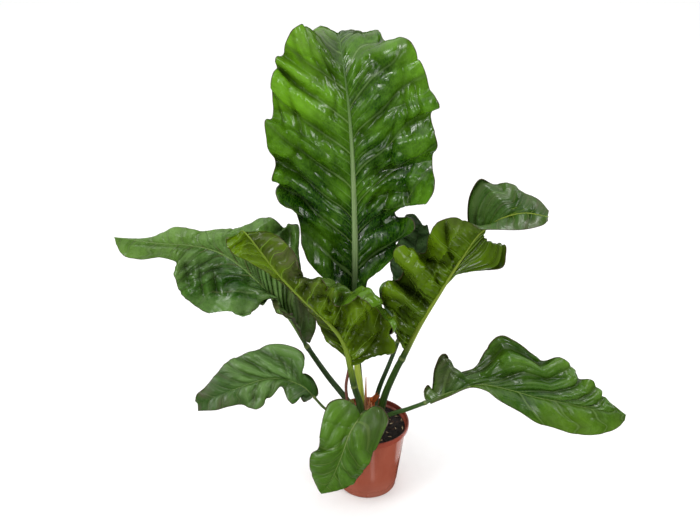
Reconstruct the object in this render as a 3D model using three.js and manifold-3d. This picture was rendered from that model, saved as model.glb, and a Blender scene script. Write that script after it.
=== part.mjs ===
// A potted Anthurium plowmanii: eight leaves around one short stem, in a round nursery pot.
// Millimetres, +Z up. The origin is the middle of the underside of the pot.
import * as THREE from "three";
import Module from "manifold-3d";

const wasm = await Module();
wasm.setup();
const { Manifold, Mesh: SolidMesh } = wasm;

// The pot: a 19 cm round nursery pot, 173 mm high.
const POT = {
  height: 173,
  rimRadius: 95,
  baseRadius: 66,
  shoulderRadius: 87.5,
  lipHeight: 12,
  wall: 2,
  floor: 3,
  segments: 36,
  holes: 6,
  holeRadius: 5,
  holeCircle: 50,
};
const SOIL = { top: 150, unevenness: 2.2, gap: 0.3, chips: 6, segments: 24 };
const FOOT = { bottom: 128, top: 154, clearance: 0.4 };
const STEM = { radius: 11, top: 176, socket: [-1, 3], socketRadius: 5, socketDepth: 16 };
const BLADE = { thickness: 1.2, columns: 4, tubeSides: 7 };
// How far along the margin, as a share of its length, its waves are averaged: at the margin itself,
// and for the broad form that the inner blade follows.
const EASE = { margin: 0.01, broad: 0.035 };

// The photograph's view: a 50 mm lens on a frame 36 mm wide and 700 by 525 points large, pitched down.
const FOCAL = (700 * 50) / 36;
const PITCH = THREE.MathUtils.degToRad(26.3);
const EYE = new THREE.Vector3(-41, -1844, 1488);

// Each leaf is drawn by three lines: its midrib, and the margins of its left and right halves, from the
// petiole to the tip. "left" and "right" are as the upper face sees them with the tip up. A point is
// [u, v, y]: where it stands in the photograph, u across and v down, and its depth y in mm.
// foot is [x, y] where the petiole enters the soil, radii are those of the petiole, the joint below
// the blade and the tip, belly is the camber in mm of each half from base to tip.
const LEAVES = {
  leaf_upright: {
    foot: [-4, 24],
    radii: [8, 7, 1.4],
    rows: 28,
    start: 0.01,
    crowding: 1.4,
    petiole: [[361, 395, 25], [357, 350, 30]],
    midrib: [
      [355, 298, 30], [355, 248, 45], [354, 200, 48], [352, 150, 42], [348, 100, 40],
      [343, 62, 55], [339, 38, 95], [337, 34, 150], [336, 46, 205],
    ],
    left: [
      [347, 300, 24], [334, 290, 14], [318, 272, 2], [306, 252, -8], [300, 230, 14],
      [292, 212, 4], [279, 204, 0], [276, 189, 20], [272, 176, 4], [275, 160, 22],
      [268, 146, 4], [264, 123, 2], [271, 108, 24], [270, 84, 8], [277, 63, 28],
      [284, 46, 22], [297, 28, 40], [314, 31, 95], [328, 34, 155], [334, 44, 200],
    ],
    right: [
      [363, 299, 24], [374, 285, 12], [388, 266, 4], [394, 248, 14], [408, 236, 4],
      [411, 225, 26], [402, 214, 52], [410, 206, 34], [425, 202, 6], [437, 188, 4],
      [431, 170, 22], [437, 148, 2], [431, 124, 22], [439, 105, 4], [429, 84, 24],
      [420, 62, 14], [404, 38, 34], [388, 34, 90], [362, 33, 150], [340, 43, 200],
    ],
    belly: { left: [0, -10, -8, 4, 0], right: [0, -10, -8, 4, 0] },
  },
  leaf_left: {
    foot: [-23, 6],
    radii: [7.5, 6.5, 1.4],
    rows: 26,
    start: 0.02,
    crowding: 0.95,
    petiole: [[349, 403, 15], [327, 375, 40]],
    midrib: [
      [306, 345, 52], [290, 320, 55], [268, 293, 52], [246, 271, 48], [222, 254, 38],
      [194, 246, 18], [155, 243, -12], [113, 237, -40],
    ],
    left: [
      [302, 339, 46], [294, 325, 30], [284, 319, 12], [274, 313, 14], [273, 305, 28],
      [268, 299, 42], [259, 306, 26], [250, 314, 12], [241, 317, 10], [228, 312, -2], [208, 312, 6],
      [190, 302, -8], [180, 292, 8], [175, 276, -8], [176, 262, 10], [160, 257, -8],
      [141, 260, -22], [123, 255, -30], [116, 244, -38],
    ],
    right: [
      [310, 343, 56], [316, 326, 72], [313, 305, 92], [303, 285, 80], [301, 268, 96],
      [299, 246, 78], [299, 226, 96], [290, 224, 76], [284, 228, 92], [274, 219, 74],
      [261, 218, 84], [240, 228, 60], [220, 229, 58], [200, 231, 34], [176, 227, 26],
      [152, 238, 0], [121, 239, -34],
    ],
    belly: { left: [0, 12, 14, 8, 0], right: [0, 6, 8, 4, 0] },
  },
  leaf_front_left: {
    foot: [-13, -20],
    radii: [9, 8, 1.4],
    rows: 28,
    start: 0.1,
    crowding: 1.2,
    petiole: [[360, 405, -30], [356, 392, -38]],
    midrib: [
      [354, 385, -42], [345, 347, -52], [331, 326, -62], [301, 298, -84], [279, 275, -102],
      [260, 251, -120], [249, 237, -128], [242, 231, -106], [238, 238, -80], [237, 253, -66],
    ],
    left: [
      [384, 355, -50], [395, 352, -54], [396, 343, -60], [390, 334, -46], [395, 322, -62],
      [386, 310, -50], [379, 298, -66], [367, 286, -58], [354, 291, -78], [340, 284, -64],
      [322, 277, -80], [306, 279, -72], [300, 268, -90], [296, 256, -92], [285, 242, -108],
      [271, 233, -102], [256, 234, -82], [243, 250, -68],
    ],
    right: [
      [340, 352, -34], [326, 341, -34], [318, 324, -38], [306, 308, -44], [285, 287, -60],
      [264, 271, -74], [248, 262, -88], [234, 254, -104], [226, 245, -108], [228, 237, -92],
      [233, 247, -72],
    ],
    belly: { left: [0, -16, -10, 0, 0], right: [0, 4, 6, 4, 0] },
  },
  leaf_right: {
    foot: [23, 6],
    radii: [9, 8, 1.4],
    rows: 32,
    start: 0.03,
    crowding: 1.3,
    petiole: [[385, 395, 0], [396, 370, -4]],
    midrib: [
      [403, 357, -6], [420, 325, -10], [440, 293, -12], [459, 263, -12], [475, 239, -14],
      [487, 228, -22], [503, 218, -34], [525, 213, -55], [549, 217, -78],
    ],
    left: [
      [407, 346, 4], [416, 328, 24], [430, 306, 34], [444, 288, 34], [460, 274, 34],
      [482, 271, 28], [502, 268, 24], [506, 256, 24], [505, 244, 22], [491, 244, 26],
      [478, 240, 26], [469, 228, 24], [467, 212, 22], [470, 194, 22], [480, 179, 14],
      [494, 184, 4], [509, 183, -10], [522, 192, -22], [538, 199, -42], [549, 211, -66],
    ],
    right: [
      [400, 343, -16], [396, 333, -30], [391, 322, -38], [392, 311, -32], [385, 306, -24],
      [381, 298, -26], [380, 288, -36], [387, 280, -34], [398, 280, -20], [403, 271, -26],
      [394, 260, -40], [395, 250, -42], [405, 245, -34], [415, 251, -18], [425, 253, -20],
      [428, 240, -36], [434, 226, -46], [450, 218, -42], [467, 221, -36], [480, 229, -34],
      [498, 230, -46], [522, 230, -64], [541, 226, -76], [548, 221, -79],
    ],
    belly: { left: [0, -8, -6, 4, 0], right: [0, 0, -4, 0, 0] },
  },
  leaf_back: {
    foot: [13, 20],
    radii: [6, 5, 1.4],
    rows: 12,
    start: 0.02,
    crowding: 1.3,
    petiole: [[378, 392, 60], [390, 362, 85]],
    midrib: [
      [398, 340, 100], [404, 305, 118], [411, 270, 130], [417, 240, 128], [420, 224, 110],
      [424, 228, 85],
    ],
    left: [
      [396, 334, 96], [388, 318, 90], [384, 300, 110], [392, 282, 90], [390, 262, 112],
      [396, 246, 92], [402, 232, 110], [406, 216, 92], [414, 214, 90], [421, 223, 84],
    ],
    right: [
      [401, 334, 96], [410, 320, 92], [415, 300, 112], [420, 284, 96], [428, 262, 114],
      [431, 242, 92], [428, 226, 88], [426, 225, 84],
    ],
    belly: { left: [0, -4, -4, 0], right: [0, -4, -4, 0] },
  },
  leaf_low_right: {
    foot: [20, -14],
    radii: [5.5, 5, 1.2],
    rows: 24,
    start: 0.01,
    crowding: 1.0,
    petiole: [[387, 416, -45], [408, 409, -64]],
    midrib: [
      [427, 402, -80], [452, 392, -88], [480, 385, -96], [505, 389, -108], [535, 397, -122],
      [560, 402, -132], [592, 409, -146], [627, 415, -160],
    ],
    left: [
      [424, 399, -76], [422, 391, -66], [428, 383, -60], [433, 389, -64], [434, 368, -58],
      [442, 355, -64], [450, 358, -52], [454, 369, -66], [466, 368, -52], [476, 366, -58],
      [487, 350, -44], [498, 337, -52], [510, 340, -52], [524, 349, -64], [541, 360, -80],
      [557, 357, -88], [566, 361, -100], [579, 378, -112], [592, 380, -124], [603, 396, -136],
      [617, 408, -152],
    ],
    right: [
      [431, 404, -86], [448, 397, -96], [470, 388, -100], [486, 391, -114], [500, 401, -126],
      [520, 412, -142], [539, 424, -150], [556, 428, -150], [576, 434, -158], [600, 434, -160],
      [617, 428, -160], [625, 420, -160],
    ],
    belly: { left: [0, 6, 14, 10, 0], right: [0, 4, 8, 6, 0] },
  },
  leaf_low_left: {
    foot: [-23, -8],
    radii: [3.5, 3.2, 1.2],
    rows: 16,
    start: 0.02,
    crowding: 1.3,
    petiole: [[342, 413, -35], [326, 409, -50]],
    midrib: [
      [313, 396, -60], [302, 386, -68], [282, 379, -78], [262, 380, -90], [238, 388, -108],
      [197, 404, -138],
    ],
    left: [
      [312, 399, -64], [306, 402, -76], [301, 397, -84], [293, 404, -96], [286, 394, -94],
      [278, 388, -102], [264, 402, -116], [256, 409, -120], [240, 406, -126], [224, 407, -134],
      [209, 411, -138], [198, 410, -140],
    ],
    right: [
      [315, 399, -56], [317, 396, -48], [310, 384, -44], [303, 374, -40], [304, 359, -36],
      [290, 348, -28], [274, 345, -36], [258, 349, -44], [240, 356, -60], [225, 362, -76],
      [216, 374, -98], [204, 388, -120], [195, 400, -136],
    ],
    belly: { left: [0, 6, 8, 4, 0], right: [0, 8, 10, 6, 0] },
  },
  leaf_low_front: {
    foot: [4, -24],
    radii: [4.5, 4, 1.2],
    rows: 14,
    start: 0.01,
    crowding: 1.3,
    petiole: [[369, 424, -60], [367, 412, -95]],
    midrib: [
      [361, 416, -118], [350, 433, -150], [340, 460, -166], [331, 480, -172], [321, 494, -172],
    ],
    left: [
      [367, 411, -112], [375, 406, -110], [383, 409, -112], [388, 420, -118], [383, 432, -132],
      [375, 450, -146], [364, 470, -158], [351, 485, -166], [338, 490, -170], [326, 493, -172],
    ],
    right: [
      [359, 412, -112], [354, 404, -112], [341, 399, -120], [329, 403, -128], [324, 415, -140],
      [321, 430, -152], [318, 448, -160], [311, 454, -160], [310, 466, -166], [314, 480, -170],
      [319, 491, -172],
    ],
    belly: { left: [0, 8, 8, 0], right: [0, 8, 8, 0] },
  },
};

// The dry sheaths on the stem, the rolled young leaf and the cut old stalk: points as above, from
// their foot up, and the radii of their round or flat section at each point.
const SPEAR = { points: [[1, -5, 160], [366, 405, -12], [366, 377, -10]], radii: [6, 5, 0.8], flat: 0.45 };
const TORN = { points: [[5, -3, 160], [369, 404, -12], [379, 391, -12]], radii: [5, 6, 2.5], flat: 0.3 };
const SHOOT = { points: [[364, 402, 4], [362, 384, 5], [358, 360, 6]], radii: [4.5, 5, 4.5, 1] };
const STALK = { foot: [-42, -5], points: [[347, 400, -5], [346, 385, -5], [349, 369, -5]], radius: 3 };

/** The place in mm of what is seen u across and v down in the photograph, at the depth y. */
function seen([u, v, y]) {
  const across = (u - 350) / FOCAL;
  const up = (262.5 - v) / FOCAL;
  const ray = new THREE.Vector3(
    across,
    Math.cos(PITCH) + up * Math.sin(PITCH),
    up * Math.cos(PITCH) - Math.sin(PITCH),
  );
  return EYE.clone().addScaledVector(ray, (y - EYE.y) / ray.y);
}

/** A seeded random number source, 0 to 1. */
function seeded(seed) {
  let state = seed;
  return () => {
    state = (state * 1664525 + 1013904223) % 4294967296;
    return state / 4294967296;
  };
}

/** A solid of the kernel from points and triangles of their indices. */
function solidOf(points, triangles) {
  return new Manifold(
    new SolidMesh({
      numProp: 3,
      vertProperties: new Float32Array(points.flatMap((p) => p.toArray())),
      triVerts: new Uint32Array(triangles.flat()),
    }),
  );
}

/** The largest body of a solid, without the slivers that a join can leave. */
function largest(solid) {
  return solid.decompose().reduce((a, b) => (b.volume() > a.volume() ? b : a));
}

/** A closed solid through rings of equally many points, with a flat fan over either end. */
function loft(rings) {
  const sides = rings[0].length;
  const points = rings.flat();
  const triangles = [];
  for (let i = 0; i + 1 < rings.length; i++) {
    for (let j = 0; j < sides; j++) {
      const a = i * sides + j;
      const b = i * sides + ((j + 1) % sides);
      triangles.push([a, b, b + sides], [a, b + sides, a + sides]);
    }
  }
  const middle = (ring) =>
    ring.reduce((sum, p) => sum.add(p), new THREE.Vector3()).divideScalar(sides);
  const last = (rings.length - 1) * sides;
  const start = points.push(middle(rings[0])) - 1;
  const end = points.push(middle(rings.at(-1))) - 1;
  for (let j = 0; j < sides; j++) {
    const next = (j + 1) % sides;
    triangles.push([start, next, j], [end, last + j, last + next]);
  }
  return solidOf(points, triangles);
}

/** A ring of points round a centre, square to its direction, flattened by the share given. */
function ringAt(centre, direction, radius, sides, flat = 1) {
  const across = new THREE.Vector3().crossVectors(direction, new THREE.Vector3(0, -1, 0.3)).normalize();
  const out = new THREE.Vector3().crossVectors(direction, across).normalize();
  return Array.from({ length: sides }, (_, j) => {
    const a = (2 * Math.PI * j) / sides;
    return centre
      .clone()
      .addScaledVector(across, radius * Math.cos(a))
      .addScaledVector(out, flat * radius * Math.sin(a));
  });
}

/** A curve through points, walked by its length: at(share) gives the place and the direction. */
function lineThrough(points, from = 0) {
  const curve = new THREE.CatmullRomCurve3(points, false, "catmullrom", 0.5);
  const begin = from / (points.length - 1);
  const steps = 300;
  const spots = Array.from({ length: steps + 1 }, (_, i) =>
    curve.getPoint(begin + ((1 - begin) * i) / steps),
  );
  const lengths = [0];
  for (let i = 0; i < steps; i++) lengths.push(lengths[i] + spots[i].distanceTo(spots[i + 1]));
  return {
    length: lengths[steps],
    at(share) {
      const goal = share * lengths[steps];
      let i = lengths.findIndex((l) => l >= goal) - 1;
      if (goal >= lengths[steps]) i = steps - 1;
      i = Math.max(i, 0);
      const part = (goal - lengths[i]) / (lengths[i + 1] - lengths[i]);
      const place = spots[i].clone().lerp(spots[i + 1], part);
      const a = spots[Math.max(i - 2, 0)];
      const b = spots[Math.min(i + 3, steps)];
      return { place, direction: b.clone().sub(a).normalize() };
    },
  };
}

/** The value at a share of the way through evenly spaced keys. */
function keyed(keys, share) {
  const x = Math.min(Math.max(share, 0), 1) * (keys.length - 1);
  const i = Math.min(Math.floor(x), keys.length - 2);
  return keys[i] + (keys[i + 1] - keys[i]) * (x - i);
}

/** The place on a line at a share of its length, averaged over a reach to both sides. */
function eased(line, share, reach) {
  const give = Math.min(reach, share, 1 - share);
  const sum = line.at(share).place.multiplyScalar(2);
  return sum.add(line.at(share - give).place).add(line.at(share + give).place).divideScalar(4);
}

/** The grid of one half of a blade: rows run from the midrib to the margin. */
function halfGrid(leaf, midrib, side) {
  const margin = lineThrough(leaf[side].map(seen));
  const hand = side === "left" ? -1 : 1;
  const grid = [];
  for (let i = 0; i <= leaf.rows; i++) {
    const w = i / leaf.rows;
    const root = midrib.at(leaf.start + (0.995 - leaf.start) * w ** leaf.crowding);
    const across = eased(margin, w, EASE.broad).sub(root.place);
    const wave = eased(margin, w, EASE.margin).sub(root.place).sub(across);
    const up = new THREE.Vector3()
      .crossVectors(across.clone().multiplyScalar(hand), root.direction)
      .normalize();
    const camber = 4 * keyed(leaf.belly[side], w);
    const row = [];
    for (let j = 0; j <= BLADE.columns; j++) {
      const t = j / BLADE.columns;
      row.push(
        root.place
          .clone()
          .addScaledVector(across, t)
          .addScaledVector(wave, t * t)
          .addScaledVector(up, camber * t * (1 - t)),
      );
    }
    grid.push(row);
  }
  return grid;
}

/** A sheet of even thickness on a grid, split into triangles alike on both faces. */
function sheet(grid, thickness) {
  const rows = grid.length - 1;
  const columns = grid[0].length - 1;
  const faces = [[], []];
  for (let i = 0; i <= rows; i++) {
    for (let j = 0; j <= columns; j++) {
      const along = grid[Math.min(i + 1, rows)][j].clone().sub(grid[Math.max(i - 1, 0)][j]);
      const across = grid[i][Math.min(j + 1, columns)].clone().sub(grid[i][Math.max(j - 1, 0)]);
      const normal = new THREE.Vector3().crossVectors(along, across).normalize();
      faces[0].push(grid[i][j].clone().addScaledVector(normal, thickness / 2));
      faces[1].push(grid[i][j].clone().addScaledVector(normal, -thickness / 2));
    }
  }
  const width = columns + 1;
  const count = faces[0].length;
  const triangles = [];
  for (let i = 0; i < rows; i++) {
    for (let j = 0; j < columns; j++) {
      const [a, b, c, d] = [i * width + j, (i + 1) * width + j, (i + 1) * width + j + 1, i * width + j + 1];
      const firstWay = grid[i][j].distanceTo(grid[i + 1][j + 1]);
      const otherWay = grid[i + 1][j].distanceTo(grid[i][j + 1]);
      const pair = firstWay < otherWay ? [[a, b, c], [a, c, d]] : [[a, b, d], [b, c, d]];
      for (const [p, q, r] of pair) {
        triangles.push([p, q, r], [p + count, r + count, q + count]);
      }
    }
  }
  const border = [];
  for (let j = 0; j < columns; j++) border.push(j);
  for (let i = 0; i < rows; i++) border.push(i * width + columns);
  for (let j = columns; j > 0; j--) border.push(rows * width + j);
  for (let i = rows; i > 0; i--) border.push(i * width);
  border.forEach((a, k) => {
    const b = border[(k + 1) % border.length];
    triangles.push([a, b, b + count], [a, b + count, a + count]);
  });
  return solidOf([...faces[0], ...faces[1]], triangles);
}

/** The petiole from its foot in the soil, the swollen joint, and the midrib to the tip. */
function stalkOf(leaf, path, petioleShare) {
  const [x, y] = leaf.foot;
  const [thick, joint, thin] = leaf.radii;
  const upright = new THREE.Vector3(0, 0, 1);
  const sides = BLADE.tubeSides;
  const rings = [
    ringAt(new THREE.Vector3(x, y, FOOT.bottom), upright, thick, sides),
    ringAt(new THREE.Vector3(x, y, FOOT.top), upright, thick, sides),
  ];
  const stops = [0.06, 0.3, 0.55, 0.8, 0.9, 0.96, 1];
  for (const stop of stops) {
    const { place, direction } = path.at(stop * petioleShare);
    const slim = THREE.MathUtils.lerp(thick, joint * 0.86, stop);
    rings.push(ringAt(place, direction, stop > 0.85 && stop < 1 ? joint : slim, sides));
  }
  const steps = 10;
  for (let i = 1; i <= steps; i++) {
    const share = i / steps;
    const { place, direction } = path.at(petioleShare + (1 - petioleShare) * share);
    rings.push(ringAt(place, direction, THREE.MathUtils.lerp(joint * 0.75, thin, share ** 0.7), sides));
  }
  return loft(rings);
}

/** One leaf: its stalk and the two halves of its blade, grown together. */
function leafSolid(leaf) {
  const start = new THREE.Vector3(...leaf.foot, FOOT.top + 3);
  const points = [start, ...leaf.petiole.map(seen), ...leaf.midrib.map(seen)];
  const path = lineThrough(points);
  const midrib = lineThrough(points, leaf.petiole.length + 1);
  const petioleShare = 1 - midrib.length / path.length;
  const halves = ["left", "right"].map((side) => {
    const grid = halfGrid(leaf, midrib, side);
    if (side === "left") grid.forEach((row) => row.reverse());
    return sheet(grid, BLADE.thickness);
  });
  return largest(Manifold.union([stalkOf(leaf, path, petioleShare), ...halves]).simplify(0.03));
}

/** A solid turned round the Z axis from a closed profile of [radius, height]. */
function turned(profile, segments) {
  const lathe = new THREE.LatheGeometry(
    [...profile, profile[0]].map(([r, z]) => new THREE.Vector2(r, z)),
    segments,
  ).rotateX(Math.PI / 2);
  const position = lathe.getAttribute("position");
  const keys = new Map();
  const points = [];
  const index = [];
  for (let i = 0; i < position.count; i++) {
    const p = new THREE.Vector3().fromBufferAttribute(position, i);
    const key = p.toArray().map((c) => Math.round(c * 1000)).join();
    if (!keys.has(key)) keys.set(key, points.push(p) - 1);
    index.push(keys.get(key));
  }
  const triangles = [];
  for (let i = 0; i < lathe.index.count; i += 3) {
    const t = [0, 1, 2].map((k) => index[lathe.index.getX(i + k)]);
    if (new Set(t).size === 3) triangles.push(t);
  }
  const solid = solidOf(points, triangles);
  return solid.volume() > 0 ? solid : solidOf(points, triangles.map(([a, b, c]) => [a, c, b]));
}

/** The pot: tapered wall, outward lip with a rounded edge, flat base with drain holes. */
function potSolid() {
  const { height, rimRadius, baseRadius, shoulderRadius, lipHeight, wall, floor } = POT;
  const lip = height - lipHeight;
  const body = turned(
    [
      [0, 0],
      [baseRadius - 3, 0],
      [baseRadius - 0.8, 0.9],
      [baseRadius, 3],
      [shoulderRadius, lip - 3],
      [rimRadius - 1.5, lip - 1],
      [rimRadius - 0.3, lip + 1],
      [rimRadius, height - 3],
      [rimRadius - 1, height - 0.6],
      [rimRadius - 2.4, height],
      [rimRadius - 3.8, height - 0.8],
      [rimRadius - 4.6, height - 3],
      [rimRadius - 5, lip + 2],
      [shoulderRadius - wall, lip - 1],
      [baseRadius - wall, floor + 2],
      [baseRadius - wall - 2, floor],
      [0, floor],
    ],
    POT.segments,
  );
  const drains = Array.from({ length: POT.holes }, (_, i) => {
    const a = (2 * Math.PI * (i + 0.5)) / POT.holes;
    return Manifold.cylinder(floor + 2, POT.holeRadius, POT.holeRadius, 8).translate([
      POT.holeCircle * Math.cos(a),
      POT.holeCircle * Math.sin(a),
      -1,
    ]);
  });
  return body.subtract(Manifold.union(drains));
}

/** The feet of everything that stands in the soil: [x, y, radius]. */
function feet() {
  const petioles = Object.values(LEAVES).map(({ foot, radii }) => [...foot, radii[0]]);
  return [...petioles, [0, 0, STEM.radius], [...STALK.foot, STALK.radius]];
}

/** The soil: it fills the pot to an uneven top with bark chips, and has a hole for each foot. */
function soilSolid() {
  const random = seeded(41);
  const { baseRadius, shoulderRadius, lipHeight, height, wall, floor } = POT;
  const inside = (z) => {
    const share = (z - 3) / (height - lipHeight - 6);
    return baseRadius - wall + (shoulderRadius - baseRadius) * share - SOIL.gap;
  };
  const bottom = floor + SOIL.gap;
  const rings = [
    [bottom, inside(bottom) - 4],
    [bottom + 5, inside(bottom + 5) - 0.6],
    [SOIL.top - 4, inside(SOIL.top - 4) - 0.6],
  ].map(([z, radius]) => ringAt(new THREE.Vector3(0, 0, z), new THREE.Vector3(0, 0, 1), radius, SOIL.segments));
  const edge = inside(SOIL.top) - 3;
  for (const share of [1, 0.78, 0.5, 0.2]) {
    rings.push(
      ringAt(new THREE.Vector3(0, 0, SOIL.top), new THREE.Vector3(0, 0, 1), edge * share, SOIL.segments).map(
        (p) => p.setZ(p.z + (share < 0.5 ? 0.3 : 1) * SOIL.unevenness * (random() - 0.5) - (share < 0.5 ? 1 : 0)),
      ),
    );
  }
  let soil = loft(rings);
  for (let i = 0; i < SOIL.chips; i++) {
    const a = 2 * Math.PI * random();
    const r = 44 + 30 * random();
    const size = 3.2 + 2.4 * random();
    soil = soil.add(
      Manifold.sphere(1, 6)
        .scale([size * 1.5, size, size * 0.7])
        .rotate([30 * random(), 30 * random(), 360 * random()])
        .translate([r * Math.cos(a), r * Math.sin(a), SOIL.top + size * 0.1]),
    );
  }
  const holes = feet().map(([x, y, radius]) =>
    Manifold.cylinder(60, radius + FOOT.clearance, radius + FOOT.clearance, 14).translate([
      x,
      y,
      FOOT.bottom - FOOT.clearance,
    ]),
  );
  return soil.subtract(Manifold.union(holes)).simplify(0.02);
}

/** A tapered strap or rod through points given as places in mm. */
function taper(places, radii, sides, flat = 1) {
  const line = lineThrough(places);
  const steps = 7;
  return loft(
    Array.from({ length: steps + 1 }, (_, i) => {
      const { place, direction } = line.at(i / steps);
      return ringAt(place, direction, keyed(radii, i / steps), sides, flat);
    }),
  );
}

/** The short stem in its dry sheaths, one long and pointed, one torn, with a socket for the shoot. */
function stemSolid() {
  const upright = new THREE.Vector3(0, 0, 1);
  const r = STEM.radius;
  const core = loft(
    [
      [FOOT.bottom, r],
      [FOOT.top, r],
      [STEM.top - 8, r - 1],
      [STEM.top - 2, r - 2],
      [STEM.top, r - 4],
    ].map(([z, radius]) => ringAt(new THREE.Vector3(0, 0, z), upright, radius, 14)),
  );
  const straps = [SPEAR, TORN].map(({ points, radii, flat }) => {
    const [foot, ...rest] = points;
    return taper([new THREE.Vector3(...foot), ...rest.map(seen)], radii, 10, flat);
  });
  const socket = Manifold.cylinder(40, STEM.socketRadius, STEM.socketRadius, 16).translate([
    ...STEM.socket,
    STEM.top - STEM.socketDepth,
  ]);
  return Manifold.union([core, ...straps]).subtract(socket).simplify(0.02);
}

/** The young leaf, still rolled in its sheath, rising from the top of the stem. */
function shootSolid() {
  const upright = new THREE.Vector3(0, 0, 1);
  const [x, y] = STEM.socket;
  const low = STEM.top - STEM.socketDepth + FOOT.clearance;
  const foot = [low, STEM.top + 4].map((z) => ringAt(new THREE.Vector3(x, y, z), upright, SHOOT.radii[0], 10));
  const line = lineThrough([new THREE.Vector3(x, y, STEM.top + 8), ...SHOOT.points.map(seen)]);
  const steps = 8;
  const rings = Array.from({ length: steps + 1 }, (_, i) => {
    const { place, direction } = line.at(i / steps);
    return ringAt(place, direction, keyed(SHOOT.radii, i / steps), 10);
  });
  return loft([...foot, ...rings]);
}

/** The stub of an old leaf stalk, cut off square at its top. */
function oldStalkSolid() {
  const upright = new THREE.Vector3(0, 0, 1);
  const [x, y] = STALK.foot;
  const foot = [FOOT.bottom, FOOT.top].map((z) => ringAt(new THREE.Vector3(x, y, z), upright, STALK.radius, 10));
  const line = lineThrough([new THREE.Vector3(x, y, FOOT.top + 6), ...STALK.points.map(seen)]);
  const steps = 7;
  const rings = Array.from({ length: steps + 1 }, (_, i) => {
    const { place, direction } = line.at(i / steps);
    return ringAt(place, direction, STALK.radius, 10);
  });
  return loft([...foot, ...rings]);
}

const group = new THREE.Group();

/** Adds one named mesh with a material of its own. */
function addPart(name, solid, colour, roughness) {
  const made = solid.getMesh();
  const geometry = new THREE.BufferGeometry();
  geometry.setAttribute("position", new THREE.BufferAttribute(new Float32Array(made.vertProperties), 3));
  geometry.setIndex(new THREE.BufferAttribute(new Uint32Array(made.triVerts), 1));
  geometry.computeVertexNormals();
  const mesh = new THREE.Mesh(geometry, new THREE.MeshStandardMaterial({ color: colour, roughness }));
  mesh.name = name;
  group.add(mesh);
}

addPart("pot", potSolid(), 0xa5523a, 0.35);
addPart("soil", soilSolid(), 0x2b211c, 0.95);
addPart("stem", stemSolid(), 0xa8602c, 0.8);
addPart("young_shoot", shootSolid(), 0xb9bf62, 0.5);
addPart("old_stalk", oldStalkSolid(), 0x7a3a2a, 0.7);
for (const [name, leaf] of Object.entries(LEAVES)) {
  addPart(name, leafSolid(leaf), 0x2f6b22, 0.4);
}

export default group;
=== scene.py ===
# %% [markdown]
# # A potted Anthurium plowmanii
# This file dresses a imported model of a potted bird's-nest anthurium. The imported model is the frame:
# it says how large every leaf is and where it stands. Each cell below makes one piece or one finish.
# Everything is in metres, with Z up, and the origin is the middle of the underside of the pot.

# %% Load the frame
import math

import bpy
import numpy as np
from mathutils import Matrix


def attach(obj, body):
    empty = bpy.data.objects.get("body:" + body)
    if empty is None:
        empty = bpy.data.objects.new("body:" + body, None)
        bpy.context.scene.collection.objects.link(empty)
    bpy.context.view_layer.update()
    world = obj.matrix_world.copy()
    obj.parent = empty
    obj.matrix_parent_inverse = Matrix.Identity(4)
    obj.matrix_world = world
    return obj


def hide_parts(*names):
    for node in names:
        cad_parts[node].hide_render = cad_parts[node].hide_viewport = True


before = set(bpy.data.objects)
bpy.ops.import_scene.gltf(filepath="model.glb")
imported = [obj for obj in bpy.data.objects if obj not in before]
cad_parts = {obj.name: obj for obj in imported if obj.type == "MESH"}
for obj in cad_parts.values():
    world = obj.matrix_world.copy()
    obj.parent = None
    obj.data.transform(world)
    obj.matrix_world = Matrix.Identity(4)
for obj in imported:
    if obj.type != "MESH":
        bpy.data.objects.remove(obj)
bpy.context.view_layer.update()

MM = 0.001
print("nodes in the frame:", sorted(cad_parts))

# %% [markdown]
# ## Helpers for nodes and colours
# A finish is a tree of nodes, so one small helper adds a node to any tree. Another turns a painter's
# hex colour into the renderer's linear numbers, and `per` turns the size of a pattern in millimetres
# into the scale of a texture, which is how often it fits into a metre.

# %% Nodes and colours
def add(tree, kind, inputs=None, **settings):
    """Adds a node, sets it up, and links or sets its inputs by name or number."""
    made = tree.nodes.new(kind)
    for key, value in settings.items():
        setattr(made, key, value)
    for key, value in (inputs or {}).items():
        if isinstance(value, bpy.types.NodeSocket):
            tree.links.new(value, made.inputs[key])
        else:
            made.inputs[key].default_value = value
    return made


def blank_material(name):
    """A new material, its empty tree, and the place on the piece that patterns are drawn by."""
    material = bpy.data.materials.new(name)
    material.use_nodes = True
    tree = material.node_tree
    tree.nodes.clear()
    return material, tree, add(tree, "ShaderNodeTexCoord").outputs["Object"]


def blank_tree(name, inputs, output):
    """A new geometry tree with named inputs and one output, and the sockets of its inputs."""
    tree = bpy.data.node_groups.new(name, "GeometryNodeTree")
    for label, kind in inputs.items():
        tree.interface.new_socket(label, in_out="INPUT", socket_type=f"NodeSocket{kind}")
    tree.interface.new_socket(output, in_out="OUTPUT", socket_type="NodeSocketGeometry")
    return tree, add(tree, "NodeGroupInput").outputs


def colour(text):
    """A linear colour from an sRGB hex value."""
    parts = [int(text[i : i + 2], 16) / 255 for i in (1, 3, 5)]
    return (*[p / 12.92 if p <= 0.04045 else ((p + 0.055) / 1.055) ** 2.4 for p in parts], 1.0)


def per(size):
    """How often a pattern of this size in mm fits into a metre."""
    return 1 / (size * MM)


print("deep leaf green, linear:", [round(part, 3) for part in colour("#0a3000")])

# %% [markdown]
# ## Helpers for shapes
# Nothing on a plant is even, so one helper makes a soft random field. The others make a mesh, keep a
# number at each of its points for the material to read, run a geometry tree on it, and turn what the
# modifiers made into a plain mesh.

# %% Shapes and fields
FIELD_SIZE = 64  # random numbers on each side of a field's table, which repeats after that


def smooth(x):
    """0 below 0, 1 above 1, and a soft rise in between."""
    x = np.clip(x, 0, 1)
    return x * x * (3 - 2 * x)


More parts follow.
